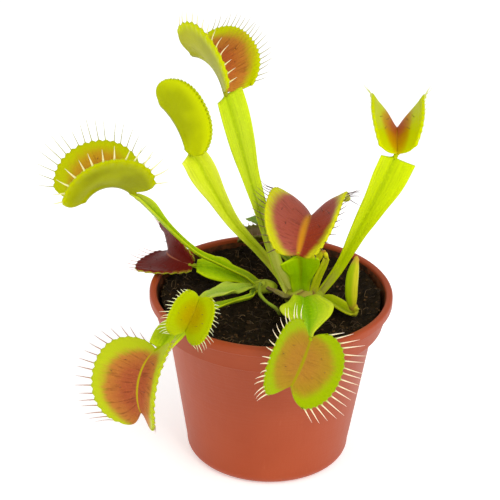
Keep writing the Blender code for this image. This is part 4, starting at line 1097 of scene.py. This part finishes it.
def make_pot():
    """The pot turned finely, with its drain holes."""
    mesh = bpy.data.meshes.new("look_pot")
    profile = pot_profile()
    edges = [(index, index + 1) for index in range(len(profile) - 1)]
    mesh.from_pydata([(radius * MM, 0, height * MM) for radius, height in profile], edges, [])
    pot = new_object("look_pot", mesh)
    screw = pot.modifiers.new("Turn", "SCREW")
    screw.steps = screw.render_steps = POT_STEPS
    screw.use_merge_vertices = True
    screw.merge_threshold = 0.00001
    cut = pot.modifiers.new("Drain", "BOOLEAN")
    cut.object = make_drill()
    cut.solver = "EXACT"
    bpy.context.view_layer.update()
    solid = bpy.data.meshes.new_from_object(pot.evaluated_get(bpy.context.evaluated_depsgraph_get()))
    bpy.data.objects.remove(cut.object)
    pot.modifiers.clear()
    pot.data = solid
    mark_painted_shade(solid)
    solid.materials.clear()
    solid.materials.append(pot_material())
    solid.shade_smooth()
    solid.set_sharp_from_angle(angle=math.radians(40))
    return dress(pot, ["pot"])


SOIL_TOP = 57.4
SOIL_LUMP = 0.7
SOIL_LUMP_SIZE = 7.0
SOIL_BANK = 5.6
SOIL_DISH = 2.2
SOIL_DISH_CENTRE = (7.0, 7.0)
SOIL_DISH_RADIUS = 15.0
SOIL_GAP = 0.3                 # between the soil and the pot
SOIL_RINGS = 110
SOIL_SIDES = 260
CRUMBS = 1150
CRUMB_SEED = 7
CRUMB_SIZES = (0.18, 0.62)
CRUMB_REACH = 39.0
CHIP_EVERY = 14                # one crumb in so many is a flat chip
CHIP_SHAPE = (2.2, 1.2, 0.6)   # how it is drawn out and flattened
FIBRES = 420
FIBRE_SEED = 11
FIBRE_STEPS = 8
FIBRE_RADII = (0.05, 0.11)
FIBRE_LENGTHS = (1.5, 5.5)
FIBRE_START = 38.0             # how far out a fibre may start, and how far out it may reach
FIBRE_REACH = 38.6


def soil_height(x, y):
    """Height of the soil's top at a place: the CAD's lumps, then finer crumbs."""
    reach = math.hypot(x, y) / RIM_RADIUS
    place = Vector((x, y, 0)) / SOIL_LUMP_SIZE
    lump = noise.noise(place) + 0.5 * noise.noise(2 * place)
    dish = math.dist((x, y), SOIL_DISH_CENTRE) / SOIL_DISH_RADIUS
    base = SOIL_TOP + SOIL_LUMP * lump + SOIL_BANK * reach ** 5 - SOIL_DISH * math.exp(-dish ** 2)
    place = Vector((x, y, 3))
    crumbs = 0.55 * noise.turbulence(place * 0.55, 4, False) + 0.25 * noise.turbulence(place * 1.9, 2, False)
    return base + crumbs - 0.25


def make_soil():
    """The soil's lumpy top over its solid filling."""
    step = POT_HEIGHT - COLLAR_HEIGHT
    collar = COLLAR_BOTTOM_RADIUS - WALL - SOIL_GAP
    top_radius = collar + (SOIL_TOP - step) / COLLAR_HEIGHT * 1.2 - SOIL_GAP
    base = BASE_RADIUS - WALL
    below = [(top_radius - 0.15, SOIL_TOP - 1.5), (collar - 0.1, step + 2.1),
             (WALL_TOP_RADIUS - WALL - SOIL_GAP, step + 1.3),
             (base - 0.7, FLOOR + 4), (base - 4.8, FLOOR + SOIL_GAP)]
    turns = [math.tau * side / SOIL_SIDES for side in range(SOIL_SIDES)]
    rings = [(top_radius * ring / SOIL_RINGS, None) for ring in range(1, SOIL_RINGS + 1)] + below
    points = [(0, 0, soil_height(0, 0))]
    for radius, height in rings:
        for turn in turns:
            x, y = radius * math.cos(turn), radius * math.sin(turn)
            points.append((x, y, soil_height(x, y) if height is None else height))
    points.append((0, 0, FLOOR + SOIL_GAP))
    rows = len(rings)
    last = 1 + (rows - 1) * SOIL_SIDES
    faces = ring_faces(rows, SOIL_SIDES, first=1, turned=True)
    for side in range(SOIL_SIDES):
        there = (side + 1) % SOIL_SIDES
        faces += [(0, 1 + side, 1 + there), (last + there, last + side, len(points) - 1)]
    piece = Piece()
    piece.add(points, faces, 0)
    return piece.build("look_soil", [soil_material("peat", *PEAT)], ["soil"])


def scattered(rng, reach):
    """A random place on the soil, within this radius."""
    radius = reach * math.sqrt(rng.uniform(0, 1))
    turn = rng.uniform(0, math.tau)
    return radius * math.cos(turn), radius * math.sin(turn)


def make_crumbs():
    """Loose peat crumbs and bark chips on the soil."""
    rng = np.random.default_rng(CRUMB_SEED)
    ball = bmesh.new()
    bmesh.ops.create_icosphere(ball, subdivisions=2, radius=1)
    shape = np.array([vertex.co[:] for vertex in ball.verts])
    faces = [tuple(vertex.index for vertex in face.verts) for face in ball.faces]
    ball.free()
    piece = Piece()
    for number in range(CRUMBS):
        x, y = scattered(rng, CRUMB_REACH)
        size = rng.uniform(*CRUMB_SIZES) * np.array([1, rng.uniform(0.5, 1), rng.uniform(0.35, 0.8)])
        if number % CHIP_EVERY == 0:
            size *= CHIP_SHAPE
        spin = rng.uniform(0, math.tau)
        shift = Vector((number, 0, 0))
        dents = np.array([noise.noise(Vector(point) * 1.6 + shift) for point in shape])
        c, s = math.cos(spin), math.sin(spin)
        body = shape * (1 + 0.45 * dents)[:, None] * size @ np.array([[c, s, 0], [-s, c, 0], [0, 0, 1]])
        lift = min(soil_height(x, y) + 0.25 * size[2], POT_HEIGHT - 1.2)
        piece.add(body + (x, y, lift), faces, number % 3 == 0)
    materials = [soil_material("peat crumb", *CRUMB), soil_material("bark crumb", *BARK)]
    return piece.build("peat_crumbs", materials, [])


def make_fibres():
    """Pale root and moss fibres lying over the soil."""
    rng = np.random.default_rng(FIBRE_SEED)
    piece = Piece()
    for _ in range(FIBRES):
        x, y = scattered(rng, FIBRE_START)
        heading = rng.uniform(0, math.tau)
        length = rng.uniform(*FIBRE_LENGTHS)
        points = []
        for share in np.linspace(0, 1, FIBRE_STEPS + 1):
            if math.hypot(x, y) > FIBRE_REACH:
                break
            arch = 0.7 * math.sin(math.pi * share) * rng.uniform(0.4, 1.0)
            points.append((x, y, soil_height(x, y) + 0.05 + arch))
            heading += rng.normal(0, 0.22)
            x += length / FIBRE_STEPS * math.cos(heading)
            y += length / FIBRE_STEPS * math.sin(heading)
        if len(points) > 3:
            add_tube(piece, 0, points, rng.uniform(*FIBRE_RADII) * np.linspace(1, 0.5, len(points)), 5)
    return piece.build("peat_fibres", [fibre_material()], [])


# ------------ stage, light and camera
FLOOR_REACH = 12.0             # metres, like the drop and the lights' places and target
FLOOR_DROP = -0.0002
FLOOR_GLOW = 0.36
LIGHT_TARGET = Vector((0, 0, 0.07))
SKY_STRENGTH = 0.65
CAMERA_PLACE = (-7.718, -623.72, 395.786)
CAMERA_TARGET = (-7.718, 0, 78.023)
CAMERA_ROLL = 1.311            # degrees
CAMERA_LENS = 145.67


def make_stage():
    """A wide white floor that glows a little, so that it fades into the white behind it."""
    floor = bpy.data.meshes.new("floor")
    corners = [(x * FLOOR_REACH, y * FLOOR_REACH, 0) for x, y in ((-1, -1), (1, -1), (1, 1), (-1, 1))]
    floor.from_pydata(corners, [], [(0, 1, 2, 3)])
    n = Nodes("floor", 0.9)
    n.set("Base Color", (0.92, 0.92, 0.92))
    n.set("Emission Color", (1.0, 1.0, 1.0))
    n.set("Emission Strength", FLOOR_GLOW)
    floor.materials.append(n.material)
    obj = new_object("floor", floor)
    obj.location.z = FLOOR_DROP


def make_light(name, place, size, power):
    """A rectangular lamp turned towards the plant. place in metres, power in watts."""
    light = bpy.data.lights.new(name, "AREA")
    light.shape = "RECTANGLE"
    light.size, light.size_y = size
    light.energy = power
    obj = new_object(name, light)
    obj.location = place
    obj.rotation_euler = (LIGHT_TARGET - Vector(place)).to_track_quat("-Z", "Y").to_euler()


def make_camera():
    """The photo's view: from the front, a little above, rolled slightly."""
    camera = bpy.data.cameras.new("camera")
    camera.lens = CAMERA_LENS
    camera.sensor_width = 36
    camera.clip_start, camera.clip_end = 0.05, 20
    obj = new_object("camera", camera)
    place, target = Vector(CAMERA_PLACE) * MM, Vector(CAMERA_TARGET) * MM
    turn = (target - place).to_track_quat("-Z", "Y").to_matrix()
    obj.location = place
    obj.rotation_euler = (turn @ Matrix.Rotation(math.radians(CAMERA_ROLL), 3, "Z")).to_euler()
    bpy.context.scene.camera = obj


world = bpy.data.worlds.new("studio")
world.use_nodes = True
world.node_tree.nodes["Background"].inputs["Color"].default_value = (1, 1, 1, 1)
world.node_tree.nodes["Background"].inputs["Strength"].default_value = SKY_STRENGTH
bpy.context.scene.world = world
bpy.context.scene.view_settings.view_transform = "Standard"
make_stage()
make_light("key", (0.40, -0.55, 0.62), (0.5, 0.5), 4.2)
make_light("fill", (-0.60, -0.35, 0.45), (0.5, 0.7), 1.7)
make_camera()

HAIR = hair_material()
make_pot()
make_soil()
make_crumbs()
make_fibres()
make_rhizome("rhizome", 1, RHIZOME)
make_rhizome("rhizome_side", 2, SIDE_RHIZOME)
make_runner()
for number, (name, leaf) in enumerate(LEAVES.items()):
    green = stalk_material(name, STALK_COLOURS[name])
    make_stalk("look_stalk_" + name, "stalk_" + name, leaf, number, green)
    if "trap" in leaf:
        make_trap(name, leaf, number)
    else:
        make_bud(name, leaf, number)
dead = stalk_material("dead", DEAD_COLOURS)
make_stalk("look_dead_leaf", "dead_leaf", DEAD_LEAF, DEAD_LEAF_SEED, dead)
